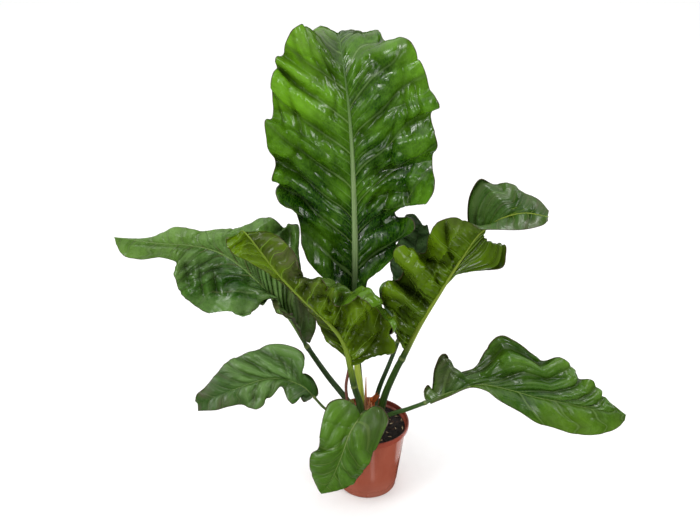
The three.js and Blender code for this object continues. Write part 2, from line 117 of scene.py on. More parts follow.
def field(x, y, seed):
    """A smooth random field, 0 to 1, that changes about once for each unit of x and y."""
    table = np.random.default_rng(seed).random((FIELD_SIZE, FIELD_SIZE))
    x, y = np.broadcast_arrays(np.asarray(x, float), np.asarray(y, float))
    i, j = np.floor(x).astype(int), np.floor(y).astype(int)
    u, v = smooth(x - i), smooth(y - j)

    def corner(a, b):
        return table[(i + a) % FIELD_SIZE, (j + b) % FIELD_SIZE]

    low = corner(0, 0) * (1 - u) + corner(1, 0) * u
    return low * (1 - v) + (corner(0, 1) * (1 - u) + corner(1, 1) * u) * v


def piece(name, vertices, faces, edges=()):
    """A mesh object at the origin with its place in its mesh."""
    mesh = bpy.data.meshes.new(name)
    mesh.from_pydata([tuple(v) for v in vertices], list(edges), list(faces))
    mesh.shade_smooth()
    made = bpy.data.objects.new(name, mesh)
    bpy.context.scene.collection.objects.link(made)
    return made


def note(mesh, name, values):
    """Keeps one number for each point of a mesh."""
    mesh.attributes.new(name, "FLOAT", "POINT").data.foreach_set("value", np.ravel(values).astype(np.float32))


def grid_faces(rows, columns):
    """The quads of a grid of points, row by row."""
    index = np.arange(rows * columns).reshape(rows, columns)
    return np.stack([index[:-1, :-1], index[:-1, 1:], index[1:, 1:], index[1:, :-1]], -1).reshape(-1, 4)


def settle(made):
    """Turns an object's modifiers into a plain mesh, and removes them."""
    graph = bpy.context.evaluated_depsgraph_get()
    graph.update()
    mesh = bpy.data.meshes.new_from_object(
        made.evaluated_get(graph), preserve_all_data_layers=True, depsgraph=graph
    )
    made.modifiers.clear()
    made.data = mesh
    mesh.name = made.name
    return made


def run_tree(made, tree, **values):
    """Runs a geometry tree on an object with the values given, and keeps the result as its mesh."""
    modifier = made.modifiers.new("grow", "NODES")
    modifier.node_group = tree
    for item in tree.interface.items_tree:
        key = item.name.replace(" ", "_")
        if getattr(item, "in_out", "") == "INPUT" and key in values:
            modifier[item.identifier] = values[key]
    return settle(made)


sample = field(np.arange(99), 0.5, 1)
print("a random field lies between", sample.min().round(2), "and", sample.max().round(2))

# %% [markdown]
# ## The photograph's view
# The plant was photographed from a little above with a normal lens. The leaves' lines are written as
# the photograph shows them: how far across, how far down, and a depth. The same camera that takes the
# picture turns those numbers into places in the room, and back again.

# %% Camera
WIDTH, HEIGHT = 700, 525  # points of the photograph
LENS, SENSOR = 50, 36  # mm
FOCAL = WIDTH * LENS / SENSOR
PITCH = math.radians(26.3)
EYE = np.array([-41, -1844, 1488]) * MM

camera = bpy.data.objects.new("camera", bpy.data.cameras.new("camera"))
camera.data.lens = LENS
camera.data.sensor_width = SENSOR
camera.data.sensor_fit = "HORIZONTAL"
camera.location = EYE
camera.rotation_euler = (math.pi / 2 - PITCH, 0, 0)
bpy.context.scene.collection.objects.link(camera)
bpy.context.scene.camera = camera


def seen(points):
    """Places of points [across, down, depth]: two in the photograph's points, depth in mm."""
    u, v, y = np.array(points, float).T
    across, up = (u - WIDTH / 2) / FOCAL, (HEIGHT / 2 - v) / FOCAL
    ahead, rise = math.cos(PITCH) + up * math.sin(PITCH), up * math.cos(PITCH) - math.sin(PITCH)
    ray = np.stack([across, ahead, rise], 1)
    return EYE + ray * ((y * MM - EYE[1]) / ray[:, 1])[:, None]


def on_photo(places):
    """Where places show in the photograph, in its points: across and down."""
    away = places - EYE
    ahead = away[..., 1] * math.cos(PITCH) - away[..., 2] * math.sin(PITCH)
    up = away[..., 1] * math.sin(PITCH) + away[..., 2] * math.cos(PITCH)
    return WIDTH / 2 + FOCAL * away[..., 0] / ahead, HEIGHT / 2 - FOCAL * up / ahead


print("camera at", EYE.round(3), "pitched down", round(math.degrees(PITCH), 1), "degrees")

# %% [markdown]
# ## The leaves' lines
# Each leaf is drawn by three lines: its midrib, and the waved margins of its left and right halves,
# from the leaf stalk to the tip. They are the same lines that the imported model was made from, so the
# fine leaf lies on the plain one. A pair of values is for the left half and the right half, and a
# list runs from the stalk to the tip.
#
# * `foot` is where the stalk stands, in mm. `radii` are those of the stalk and of its joint, and
#   `ribs` those of the midrib. `belly` is how many mm a half bulges.
# * `rows` and `columns` say how fine the mesh is. `start` is where on the midrib the blade begins,
#   and `crowding` and `pace` draw its rows together towards the stalk.
# * `veins` counts the side veins of a half, `forward` is how far they slant to the tip, and `wander`
#   how unevenly they stand.
# * `relief` is the depth of the quilting between veins in mm, shared out over `swell`, `puffs`,
#   `dents` and `ripples`. `pleats`, `crumple` and `ruffle` are the mm of the fine pleats beside the
#   midrib, of crumpled patches and of the margin's frill.
# * `waves` is how many mm high the margin's waves stand where they run on into the blade, and
#   `waves_in` how soon they fade. `roll` is the share of a half that its rolled margin adds, and
#   `roll_to` is 1 where that rolls over the upper face, and -1 where it rolls under.
# * `folds` are folds seen in the photograph: mm towards the camera, a reach in the photograph's
#   points, and the line. A fold above 0 is a soft crest, and one below 0 a sharp valley.
# * `fresh` says where the green is young and light, on the tall leaf's upper left partly as painted
#   light, `middle` how much of that is left beside the midrib, and `blush` where the tissue browns,
#   on the tall leaf's top partly as painted sheen.

# %% Leaf table
LEAVES = {}
LEAVES["upright"] = dict(
    foot=(-4, 24), radii=(8, 7), ribs=[7.2, 6.4, 5.0, 3.0, 1.8, 0.8],
    rows=330, columns=70, start=0.01, crowding=1.4,
    veins=10, forward=(1.0, 1.0),
    relief=([8.5], [8.5]),
    swell=0.7, puffs=0.7, dents=0.35, ripples=0.1, crumple=[1.0],
    pleats=([1.5, 2, 2.6, 2, 1.5, 1, 1], [1.5, 1.5, 3.4, 4.6, 2.4, 1.4, 1]), ruffle=6.0,
    waves=(13, 13), waves_in=2.0,
    folds=[
        (-9, 4, [[260, 108], [285, 111], [303, 116], [318, 127], [330, 140]]),
        (7, 3.5, [[256, 119], [285, 127], [300, 139], [320, 156], [338, 174], [354, 198]]),
        (-9, 4, [[262, 134], [288, 144], [302, 158], [320, 176], [338, 194], [350, 206]]),
        (-9, 3, [[270, 158], [290, 164], [306, 180], [326, 200], [345, 218]]),
        (6, 4, [[268, 184], [290, 196], [308, 210], [328, 222], [352, 242]]),
        (-8, 4, [[286, 204], [306, 222], [325, 238], [348, 256]]),
        (-14, 4, [[357, 214], [369, 203], [382, 195], [398, 192], [420, 194]]),
        (8, 6, [[362, 198], [385, 184], [405, 178], [434, 176]]),
        (-9, 3.5, [[360, 182], [380, 172], [404, 166], [438, 158]]),
        (6, 4, [[358, 170], [384, 152], [410, 141], [440, 134]]),
        (-8, 3.5, [[360, 238], [378, 228], [394, 220], [408, 212]]),
        (-8, 3.5, [[362, 266], [378, 254], [400, 243]]),
        (-7, 3.5, [[354, 142], [372, 124], [394, 108], [426, 98]]),
        (-7, 3.5, [[350, 110], [366, 92], [384, 76], [408, 60]]),
        (-7, 3.5, [[346, 90], [330, 72], [312, 58], [290, 50]]),
    ],
    # to the upper left these keys are partly young tissue and partly painted light, where the light falls
    fresh=([0, 0, 0, 0.1, 0.3, 1.0, 1.4, 0.9, 0.5], [0, 0, 0.05, 0.1, 0.2, 0.35, 0.5, 0.45, 0.4]),
    middle=0.2,
    # towards the tip the blush is partly browning and partly painted sheen, where the top leans back under the
    # light
    blush=([0, 0, 0, 0, 0, 0.1, 0.25, 0.6, 0.8], [0, 0, 0, 0, 0, 0, 0.1, 0.4, 0.8]),
    belly=([0, -10, -8, 4, 0], [0, -10, -8, 4, 0]),
    petiole=[[361, 395, 25], [357, 350, 30]],
    midrib=[
        [355, 298, 30], [355, 248, 45], [354, 200, 48], [352, 150, 42], [348, 100, 40], [343, 62, 55],
        [339, 38, 95], [337, 34, 150], [336, 46, 205],
    ],
    left=[
        [347, 299, 24], [340, 292, 20], [331, 284, 12], [320, 275, 4], [309, 261, -6], [303, 246, 4],
        [301, 230, 14], [297, 215, 6], [290, 208, -2], [280, 206, -4], [275, 196, 4], [276, 188, 20],
        [280, 183, 24], [272, 181, 8], [273, 171, 0], [276, 162, 18], [268, 149, 6], [266, 138, 0],
        [264, 121, -4], [271, 119, 18], [273, 105, 24], [272, 93, 12], [270, 82, 4], [272, 73, 12],
        [277, 69, 28], [275, 60, 20], [277, 56, 24], [283, 55, 30], [285, 44, 22], [291, 31, 24],
        [298, 26, 34], [305, 27, 60], [310, 31, 90], [316, 28, 110], [322, 27, 135], [330, 30, 165],
        [334, 43, 200],
    ],
    right=[
        [363, 298, 24], [366, 288, 18], [369, 279, 10], [380, 272, 2], [389, 263, 0], [397, 256, 6],
        [400, 248, 22], [396, 242, 30], [410, 234, 6], [415, 227, 4], [411, 218, 24], [398, 217, 46],
        [395, 212, 54], [398, 207, 48], [409, 202, 26], [419, 202, 8], [426, 205, 0], [434, 194, -2],
        [436, 182, 2], [433, 169, 20], [433, 154, 24], [437, 149, 4], [434, 131, 6], [431, 116, 24],
        [433, 109, 20], [440, 105, 0], [436, 97, 6], [430, 89, 22], [426, 73, 22], [421, 61, 22],
        [417, 58, 24], [416, 50, 16], [411, 42, 18], [404, 37, 28], [398, 37, 48], [392, 42, 80],
        [383, 37, 104], [377, 33, 120], [362, 31, 155], [348, 31, 180], [340, 43, 200],
    ],
)
LEAVES["left"] = dict(
    foot=(-23, 6), radii=(7.5, 6.5),
    rows=300, columns=56, start=0.02, crowding=0.95,
    veins=13, forward=(1.2, 1.1), wander=1.8,
    relief=([5, 5, 5, 4, 3.5, 2.5, 1.5], [4, 4, 4, 3, 3, 2, 1.5]),
    swell=0.5, puffs=0.9, dents=0.4, crumple=[0.8],
    pleats=([2.0, 1.5, 1.0], [1.0, 3.0, 8.0, 7.0, 3.0, 1.0, 0.6, 0.6, 0.4]), ruffle=4.0,
    waves=(14, 14), roll=([0.2, 0.6, 0.5, 0.15, 0, 0, 0, 0, 0], [0]),
    folds=[
        (-12, 3, [[199, 266], [201, 280], [204, 298]]), (-11, 3, [[213, 266], [215, 282], [218, 298]]),
        (-10, 3.5, [[184, 258], [188, 278], [192, 294]]), (9, 3.5, [[207, 276], [208, 288], [210, 300]]),
        (5, 3, [[222, 276], [223, 286], [222, 298]]), (5, 3, [[195, 258], [196, 268], [198, 278]]),
        (-13, 3.5, [[256, 284], [247, 281], [235, 279], [226, 284], [220, 294]]),
        (-9, 4, [[244, 272], [225, 268], [205, 272], [180, 276]]),
        (-14, 7, [[228, 262], [205, 264], [188, 266], [172, 274]]),
        (4, 3, [[250, 284], [238, 290], [226, 300]]),
        (-4, 1.8, [[206, 252], [180, 248], [155, 246], [118, 244]]),
        (-4, 1.5, [[205, 226], [208, 238], [214, 252]]), (-4, 1.5, [[224, 226], [224, 238], [226, 250]]),
    ],
    fresh=([0.2, 0.2, 0.2, 0.2, 0.1, 0.3, 0.8, 0.9, 0.9], [0.2, 0.3, 0.5, 0.6, 0.7, 0.8, 0.8, 0.9, 0.9]),
    blush=([0.5, 0.5, 0.4, 0.1, 0, 0, 0, 0, 0], [1.2, 1.1, 0.4, 0, 0, 0, 0, 0, 0]),
    belly=([0, 12, 14, 8, 0], [0, 6, 8, 4, 0]),
    petiole=[[349, 403, 15], [327, 375, 40]],
    midrib=[
        [306, 345, 52], [290, 320, 55], [268, 293, 52], [246, 271, 48], [222, 254, 38], [194, 246, 18],
        [155, 243, -12], [113, 237, -40],
    ],
    left=[
        [302, 339, 46], [294, 325, 30], [284, 319, 12], [274, 313, 14], [273, 305, 28], [268, 299, 42],
        [259, 306, 26], [250, 314, 12], [241, 317, 10], [228, 312, -2], [208, 312, 6], [190, 302, -8],
        [180, 292, 8], [175, 276, -8], [176, 262, 10], [160, 257, -8], [141, 260, -22], [123, 255, -30],
        [116, 244, -38],
    ],
    right=[
        [310, 343, 56], [316, 326, 72], [313, 305, 92], [303, 285, 80], [301, 268, 96], [299, 246, 78],
        [299, 226, 96], [290, 224, 76], [284, 228, 92], [274, 219, 74], [261, 218, 84], [240, 228, 60],
        [220, 229, 58], [200, 231, 34], [176, 227, 26], [152, 238, 0], [121, 239, -34],
    ],
)
LEAVES["front_left"] = dict(
    foot=(-13, -20), radii=(9, 8), ribs=[7.6, 5.2, 2.8, 2.0, 1.4, 0.8],
    rows=300, columns=56, start=0.1, crowding=1.2,
    veins=13, forward=(0.6, 1.0),
    relief=([5, 6.5, 6.5, 5, 3, 2.5, 2.5], [5.0]),
    puffs=0.9, dents=0.5, crumple=[0.5, 1.2, 1.4, 1.2, 0.8, 0.6, 0.6],
    pleats=([4, 3, 1.5, 1.2, 1.2, 1], [2.0]), ruffle=3.0,
    waves=(34, 20), waves_in=0.7, roll=([0, 0.05, 0.3, 0.45, 0.35, 0.2, 0.05, 0, 0], [0]), roll_to=-1,
    folds=[
        (-18, 4, [[343, 292], [341, 312], [345, 330]]), (14, 4, [[350, 292], [356, 310], [361, 332]]),
        (6, 2, [[344, 306], [348, 316], [351, 328]]),
        (-18, 5, [[326, 325], [346, 329], [360, 333], [386, 343]]),
        (6, 3, [[364, 298], [370, 310], [372, 328]]), (-8, 2, [[360, 300], [366, 312], [368, 330]]),
        (12, 3, [[308, 286], [324, 283], [334, 289], [336, 300], [328, 308]]),
        (-16, 3, [[314, 297], [326, 296], [329, 301], [324, 304]]),
        (12, 3, [[316, 304], [321, 314], [331, 317], [339, 308]]),
        (-7, 2, [[302, 280], [310, 290], [314, 304]]), (-9, 9, [[346, 352], [366, 346], [394, 340]]),
        (-6, 1.6, [[338, 348], [346, 338], [356, 336]]), (-6, 1.6, [[350, 356], [356, 344], [368, 342]]),
    ],
    fresh=([0.2, 0.6, 0.9, 0.9, 0.6, 0.3, 0.2, 0.7, 1.0], [0.3, 0.4, 0.3, 0.2, 0.3, 0.5, 0.8, 1.0, 1.0]),
    blush=([0.2, 0.1, 0.1, 0.15, 0.35, 0.8, 0.9, 0.3, 0.0], [0.2, 0.3, 0.5, 0.6, 0.7, 0.4, 0.1, 0, 0]),
    belly=([0, -16, -10, 0, 0], [0, 4, 6, 4, 0]),
    petiole=[[360, 405, -30], [356, 392, -38]],
    midrib=[
        [354, 385, -42], [345, 347, -52], [331, 326, -62], [301, 298, -84], [279, 275, -102],
        [260, 251, -120], [249, 237, -128], [242, 231, -106], [238, 238, -80], [237, 253, -66],
    ],
    left=[
        [384, 355, -50], [395, 352, -54], [396, 343, -60], [390, 334, -46], [395, 322, -62],
        [386, 310, -50], [379, 298, -66], [367, 286, -58], [354, 291, -78], [340, 284, -64],
        [322, 277, -80], [306, 279, -72], [300, 268, -90], [296, 256, -92], [285, 242, -108],
        [271, 233, -102], [256, 234, -82], [243, 250, -68],
    ],
    right=[
        [340, 352, -34], [326, 341, -34], [318, 324, -38], [306, 308, -44], [285, 287, -60],
        [264, 271, -74], [248, 262, -88], [234, 254, -104], [226, 245, -108], [228, 237, -92],
        [233, 247, -72],
    ],
)
LEAVES["right"] = dict(
    foot=(23, 6), radii=(9, 8), ribs=[7.0, 4.8, 3.0, 2.2, 1.6, 0.8],
    rows=320, columns=56, start=0.03, crowding=1.3, pace=(2.1, 1.0),
    veins=13, forward=(3.2, 0.35),
    relief=([5, 5, 4, 3, 2, 1.6, 1.6], [5.0, 5.0, 5.0, 3.6, 2.6]),
    puffs=1.2, dents=0.4, crumple=[0.8, 0.8, 0.6, 0.5, 0.4, 0.3],
    pleats=([1.0], [2.6, 2.6, 2.6, 1.2, 0.4]), ruffle=4.0,
    waves=(16, 23), waves_in=0.6, roll=([0], [0, 0.1, 0.05, 0, 0, 0, 0, 0, 0]), roll_to=-1,
    folds=[
        (-24, 3.5, [[445, 216], [447, 236], [449, 250], [458, 272]]),
        (-8, 3, [[504, 226], [516, 206], [524, 190]]), (-7, 3, [[530, 224], [532, 212], [534, 200]]),
        (-8, 3, [[478, 224], [484, 204], [490, 186]]), (-6, 1.6, [[412, 248], [408, 258], [403, 264]]),
        (-6, 1.6, [[420, 256], [414, 266], [410, 274]]), (-6, 1.6, [[428, 266], [420, 274], [414, 282]]),
        (-5, 1.6, [[432, 278], [424, 284], [418, 290]]), (-5, 1.6, [[396, 282], [391, 290], [390, 297]]),
        (-5, 1.6, [[408, 289], [404, 297], [402, 304]]), (7, 5, [[434, 222], [434, 238], [440, 254]]),
        (9, 4, [[452, 246], [454, 236], [461, 231], [474, 235]]),
        (-18, 3, [[414, 258], [432, 261], [456, 265]]),
        (-18, 2.4, [[418, 254], [430, 270], [436, 280], [445, 296]]),
        (-9, 1.8, [[430, 262], [437, 274], [445, 286]]),
        (12, 5, [[388, 242], [404, 262], [414, 271], [421, 282], [432, 300]]),
        (-18, 2.6, [[384, 278], [407, 288], [415, 293], [424, 300], [434, 312]]),
        (11, 4, [[374, 284], [392, 292], [404, 297], [412, 305], [424, 322]]),
        (-11, 2.2, [[382, 298], [396, 300], [406, 307], [416, 320]]),
        (-8, 1.8, [[400, 304], [408, 316], [416, 328]]), (-7, 1.8, [[396, 304], [403, 316], [410, 330]]),
    ],
    fresh=([0.5, 0.5, 0.6, 0.7, 0.5, 0.1, 0.1, 0.2, 0.3], [0.9, 1.1, 1.0, 0.8, 1.0, 0.8, 0.4, 0.3, 0.4]),
    blush=([0, 0, 0, 0, 0.2, 0.3, 0.5, 0.5, 0.7], [0.1, 0.1, 0.1, 0.2, 0.1, 0.1, 0.5, 0.5, 0.7]),
    belly=([0, -8, -6, 4, 0], [0, 0, -4, 0, 0]),
    petiole=[[385, 395, 0], [396, 370, -4]],
    midrib=[
        [403, 357, -6], [420, 325, -10], [440, 293, -12], [459, 263, -12], [475, 239, -14],
        [487, 228, -22], [503, 218, -34], [525, 213, -55], [549, 217, -78],
    ],
    left=[
        [402, 346, 4], [408, 328, 24], [419, 308, 34], [433, 288, 36], [447, 274, 36], [458, 272, 32],
        [482, 271, 28], [502, 268, 24], [506, 256, 24], [505, 244, 22], [491, 244, 26], [478, 240, 26],
        [469, 228, 24], [467, 212, 22], [470, 194, 22], [480, 179, 14], [494, 184, 4], [509, 183, -10],
        [522, 192, -22], [538, 199, -42], [549, 211, -66],
    ],
    right=[
        [400, 343, -16], [396, 333, -30], [391, 322, -38], [392, 311, -32], [385, 306, -24],
        [381, 298, -26], [380, 288, -36], [387, 280, -34], [398, 280, -20], [403, 271, -26],
        [394, 260, -40], [395, 250, -42], [405, 245, -34], [415, 251, -18], [425, 253, -20],
        [428, 240, -36], [434, 226, -46], [450, 218, -42], [467, 221, -36], [480, 229, -34],
        [498, 230, -46], [522, 230, -64], [541, 226, -76], [548, 221, -79],
    ],
)
LEAVES["back"] = dict(
    foot=(13, 20), radii=(6, 5),
    rows=180, columns=30, start=0.02, crowding=1.3,
    veins=9, forward=(0.8, 0.8),
    relief=([6.0], [6.0]),
    pleats=([1.5], [1.5]), ruffle=4.0,
    waves=(12, 12),
    fresh=([0.3, 0.3, 0.5, 0.7], [0.3, 0.3, 0.5, 0.7]),
    belly=([0, -4, -4, 0], [0, -4, -4, 0]),
    petiole=[[378, 392, 60], [390, 362, 85]],
    midrib=[
        [398, 340, 100], [404, 305, 118], [411, 270, 130], [417, 240, 128], [420, 224, 110],
        [424, 228, 85],
    ],
    left=[
        [396, 334, 96], [388, 318, 90], [384, 300, 110], [392, 282, 90], [390, 262, 112], [396, 246, 92],
        [402, 232, 110], [406, 216, 92], [414, 214, 90], [421, 223, 84],
    ],
    right=[
        [401, 334, 96], [410, 320, 92], [415, 300, 112], [420, 284, 96], [428, 262, 114], [431, 242, 92],
        [428, 226, 88], [426, 225, 84],
    ],
)
LEAVES["low_right"] = dict(
    foot=(20, -14), radii=(5.5, 5),
    rows=260, columns=56, start=0.01, crowding=1.0,
    veins=6, forward=(2.6, 1.4),
    relief=([10.0], [3.0]),
    pleats=([2.0], [0.6]), ruffle=0.8,
    waves=(8, 8),
    folds=[
        (-8, 3, [[450, 372], [460, 378], [474, 388]]),
        (-7, 2.5, [[466, 384], [490, 378], [512, 376], [538, 362]]),
        (-6, 2.5, [[508, 384], [545, 379], [584, 378]]), (5, 3, [[480, 380], [494, 364], [500, 348]]),
        (-5, 2, [[486, 376], [500, 362], [512, 350]]),
    ],
    fresh=([0.2, 0.2, 0.3, 0.3, 0.3, 0.2, 0.3, 0.4, 0.6], [0.3, 0.8, 1.0, 0.35, 0.4, 0.5, 0.5, 0.5, 0.5]),
    blush=([0.9, 0.9, 0.4, 0.1, 0, 0, 0, 0, 0], [0.9, 0.6, 0.1, 0, 0, 0, 0, 0, 0.2]),
    belly=([0, 6, 14, 10, 0], [0, 4, 8, 6, 0]),
    petiole=[[387, 416, -45], [408, 409, -64]],
    midrib=[
        [427, 402, -80], [452, 392, -88], [480, 385, -96], [505, 389, -108], [535, 397, -122],
        [560, 402, -132], [592, 409, -146], [627, 415, -160],
    ],
    left=[
        [425, 399, -76], [424, 391, -68], [428, 385, -62], [432, 391, -66], [434, 370, -58],
        [441, 355, -62], [448, 357, -54], [451, 373, -64], [464, 371, -54], [476, 366, -58],
        [487, 350, -44], [498, 337, -52], [510, 340, -52], [524, 349, -64], [541, 360, -80],
        [557, 357, -88], [566, 361, -100], [579, 378, -112], [592, 380, -124], [603, 396, -136],
        [617, 408, -152],
    ],
    right=[
        [431, 404, -86], [448, 397, -96], [470, 388, -100], [486, 391, -114], [500, 401, -126],
        [520, 412, -142], [539, 424, -150], [556, 428, -150], [576, 434, -158], [600, 434, -160],
        [617, 428, -160], [625, 420, -160],
    ],
)
LEAVES["low_left"] = dict(
    foot=(-23, -8), radii=(3.5, 3.2),
    rows=220, columns=48, start=0.02, crowding=1.3,
    veins=7, forward=(0.8, 1.3),
    relief=([5.0], [6.0]),
    dents=0.3,
    pleats=([1.0], [1.2]), ruffle=1.5,
    waves=(8, 8),
    folds=[
        (-5, 2, [[232, 356], [249, 361], [261, 370], [272, 381]]),
        (-5, 2, [[248, 351], [264, 365], [278, 382]]), (-6, 2, [[270, 345], [283, 362], [290, 384]]),
        (-4, 2, [[216, 373], [243, 375], [268, 383]]), (-4, 1.6, [[292, 356], [293, 370], [293, 386]]),
        (-6, 3, [[257, 384], [256, 394], [250, 404]]),
    ],
    fresh=([0.1, 0.2, 0.3, 0.4, 0.5, 0.5, 0.4, 0.3, 0.2], [0.2, 0.3, 0.6, 0.7, 0.7, 0.6, 0.5, 0.3, 0.2]),
    blush=([0.3, 0.2, 0.2, 0.2, 0.3, 0.3, 0.5, 0.8, 0.9], [0, 0, 0, 0, 0, 0.1, 0.3, 0.6, 0.9]),
    belly=([0, 6, 8, 4, 0], [0, 8, 10, 6, 0]),
    petiole=[[342, 413, -35], [326, 409, -50]],
    midrib=[
        [313, 396, -60], [302, 386, -68], [282, 379, -78], [262, 380, -90], [238, 388, -108],
        [197, 404, -138],
    ],
    left=[
        [312, 398, -64], [309, 400, -70], [304, 402, -78], [301, 398, -80], [300, 394, -74],
        [299, 399, -84], [293, 404, -96], [288, 400, -96], [285, 393, -92], [283, 388, -90],
        [279, 387, -98], [271, 397, -108], [266, 399, -110], [263, 405, -116], [257, 409, -120],
        [250, 408, -122], [243, 405, -122], [231, 406, -130], [216, 410, -136], [198, 411, -140],
    ],
    right=[
        [315, 398, -56], [318, 394, -48], [317, 387, -44], [312, 378, -42], [306, 374, -44],
        [301, 373, -52], [301, 367, -46], [304, 359, -36], [300, 352, -30], [290, 347, -28],
        [275, 345, -36], [258, 349, -44], [236, 358, -62], [226, 363, -76], [216, 374, -98],
        [205, 387, -118], [197, 394, -130], [195, 401, -136],
    ],
)
LEAVES["low_front"] = dict(
    foot=(4, -24), radii=(4.5, 4),
    rows=180, columns=48, start=0.01, crowding=1.3,
    veins=5, forward=(1.0, 1.0),
    relief=([3.2], [3.2]),
    swell=0.4, puffs=1.2, dents=0.6,
    pleats=([0.2], [0.2]), ruffle=1.5,
    waves=(5, 5),
    folds=[
        (-5, 2.5, [[312, 453], [329, 449], [343, 438], [352, 430]]),
        (-3, 2.5, [[320, 420], [338, 425], [355, 428]]), (3, 2.5, [[355, 444], [363, 456], [366, 470]]),
        (-3, 2, [[352, 448], [357, 462], [356, 478]]),
    ],
    fresh=([0.4, 0.4, 0.5, 0.6, 0.6], [0.6, 0.8, 0.7, 0.5, 0.5]),
    blush=([0.8, 0.5, 0.1, 0.1, 0], [0.3, 0.1, 0, 0.1, 0]),
    belly=([0, 8, 8, 0], [0, 8, 8, 0]),
    petiole=[[369, 424, -60], [367, 412, -95]],
    midrib=[
        [361, 416, -118], [350, 433, -150], [340, 460, -166], [331, 480, -172], [321, 494, -172],
    ],
    left=[
        [367, 411, -112], [375, 406, -110], [383, 409, -112], [388, 420, -118], [383, 432, -132],
        [375, 450, -146], [364, 470, -158], [351, 485, -166], [338, 490, -170], [326, 493, -172],
    ],
    right=[
        [359, 412, -112], [354, 404, -112], [341, 399, -120], [329, 403, -128], [324, 415, -140],
        [321, 430, -152], [318, 448, -160], [311, 454, -160], [310, 466, -166], [314, 480, -170],
        [319, 491, -172],
    ],
)
folds = sum(len(leaf.get("folds", ())) for leaf in LEAVES.values())
print(len(LEAVES), "leaves,", folds, "folds drawn from the photograph")

# %% [markdown]
# ## Smooth lines through points
# A Catmull-Rom curve passes through every point it is given, so a line can be read off the photograph
# as points. The curve is walked by its length, not by its points, so that a stretch with many points
# doesn't get more rows of mesh than one with few.

# %% Lines
class Line:
    """A smooth curve through points, from the point numbered begin, walked by share of its length."""

    def __init__(self, points, begin=0, samples=1500):
        points = np.asarray(points, float)
        wide = np.vstack([2 * points[0] - points[1], points, 2 * points[-1] - points[-2]])
        x = np.linspace(begin, len(points) - 1, samples)
        i = np.minimum(x.astype(int), len(points) - 2)
        f = (x - i)[:, None]
        a, b, c, d = (wide[i + k] for k in range(4))
        self.places = 0.5 * (
            2 * b + (c - a) * f + (2 * a - 5 * b + 4 * c - d) * f**2 + (3 * b - a - 3 * c + d) * f**3
        )
        steps = np.linalg.norm(np.diff(self.places, axis=0), axis=1)
        self.shares = np.concatenate([[0], np.cumsum(steps)])
        self.length = self.shares[-1]
        self.shares /= self.length

    def at(self, share):
        """The place at a share of the length."""
        share = np.atleast_1d(share)
        return np.stack([np.interp(share, self.shares, self.places[:, k]) for k in range(3)], -1)

    def direction(self, share, reach=0.008):
        """The unit vector along the line, taken over a short reach."""
        step = self.at(np.minimum(share + reach, 1)) - self.at(np.maximum(share - reach, 0))
        return step / np.linalg.norm(step, axis=-1, keepdims=True)

    def eased(self, share, reach):
        """The place averaged over a reach to both sides."""
        give = np.minimum(np.minimum(reach, share), 1 - share)
        return (2 * self.at(share) + self.at(share - give) + self.at(share + give)) / 4


def keyed(keys, share):
    """The value at a share of the way through evenly spaced keys."""
    return np.interp(share, np.linspace(0, 1, len(keys)), keys) if len(keys) > 1 else keys[0] + 0 * share


STALK_START = 157  # mm above the floor: just over the soil, where every leaf stalk still stands upright


def leaf_lines(leaf):
    """The whole stalk from the soil to the leaf's tip, and the midrib alone."""
    start = np.array([[*leaf["foot"], STALK_START]]) * MM
    points = np.vstack([start, seen(leaf["petiole"]), seen(leaf["midrib"])])
    return Line(points), Line(points, begin=len(leaf["petiole"]) + 1)


for name, leaf in LEAVES.items():
    path, midrib = leaf_lines(leaf)
    print(f"{name}: stalk {path.length - midrib.length:.3f} m, midrib {midrib.length:.3f} m")

# %% [markdown]
# ## The blade of a leaf: its plain surface
# The blade is a thin leathery sheet. It could be sculpted or simulated, but then it would no longer
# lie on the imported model, so it is worked out: a grid whose rows run from the midrib out to the
# margin. The margin's big waves move whole rows, and its small ones only their outer ends. Where a
# margin rolls over, as on old leaves, the rows are longer, and the extra length turns over the blade
# and lies back on it.

# %% Plain half blade
SIDES = ("left", "right")
TINY = 1e-9
MIDRIB_END = 0.995  # share of the midrib where the blade ends
RIM_EASE, BROAD_EASE = 0.0025, 0.035  # shares of a margin over which its small and its big waves are eased
ROLL_RADIUS = 5.5  # mm, how tightly a margin rolls over
ROLL_TURN = 0.94 * math.pi  # a rolled margin turns a little less than half a circle


def plain_half(leaf, midrib, k, seed):
    """Half a blade, left 0 or right 1, before it gets any relief, with what later steps need of it."""
    margin = Line(seen(leaf[SIDES[k]]))
    w = np.linspace(0, 1, leaf["rows"] + 1)
    share = leaf["start"] + (MIDRIB_END - leaf["start"]) * w ** leaf["crowding"]
    w = w ** leaf.get("pace", (1, 1))[k]
    root, along = midrib.at(share), midrib.direction(share)
    across = margin.eased(w, BROAD_EASE) - root
    wave = margin.eased(w, RIM_EASE) - root - across
    up = np.cross((2 * k - 1) * across, along)
    up /= np.maximum(np.linalg.norm(up, axis=1, keepdims=True), TINY)
    width = np.linalg.norm(across, axis=1)[:, None] / MM

    roll = keyed(leaf["roll"][k] if "roll" in leaf else [0], w)
    roll = roll * (0.35 + 1.3 * field(w * 9, 0.5, seed + 6)) * (0.7 + 0.6 * field(w * 37, 0.5, seed + 11))
    walk = np.linspace(0, 1, leaf["columns"] + 1)[None, :] * (1 + roll)[:, None]
    t = np.minimum(walk, 1)
    bulge = 4 * MM * keyed(leaf["belly"][k], w)[:, None] * t * (1 - t)
    places = (
        root[:, None]
        + across[:, None] * t[..., None]
        + wave[:, None] * (t**2)[..., None]
        + up[:, None] * bulge[..., None]
    )
    return dict(margin=margin, w=w, share=share, along=along, across=across, up=up, width=width,
                roll=roll, walk=walk, t=t, places=places)


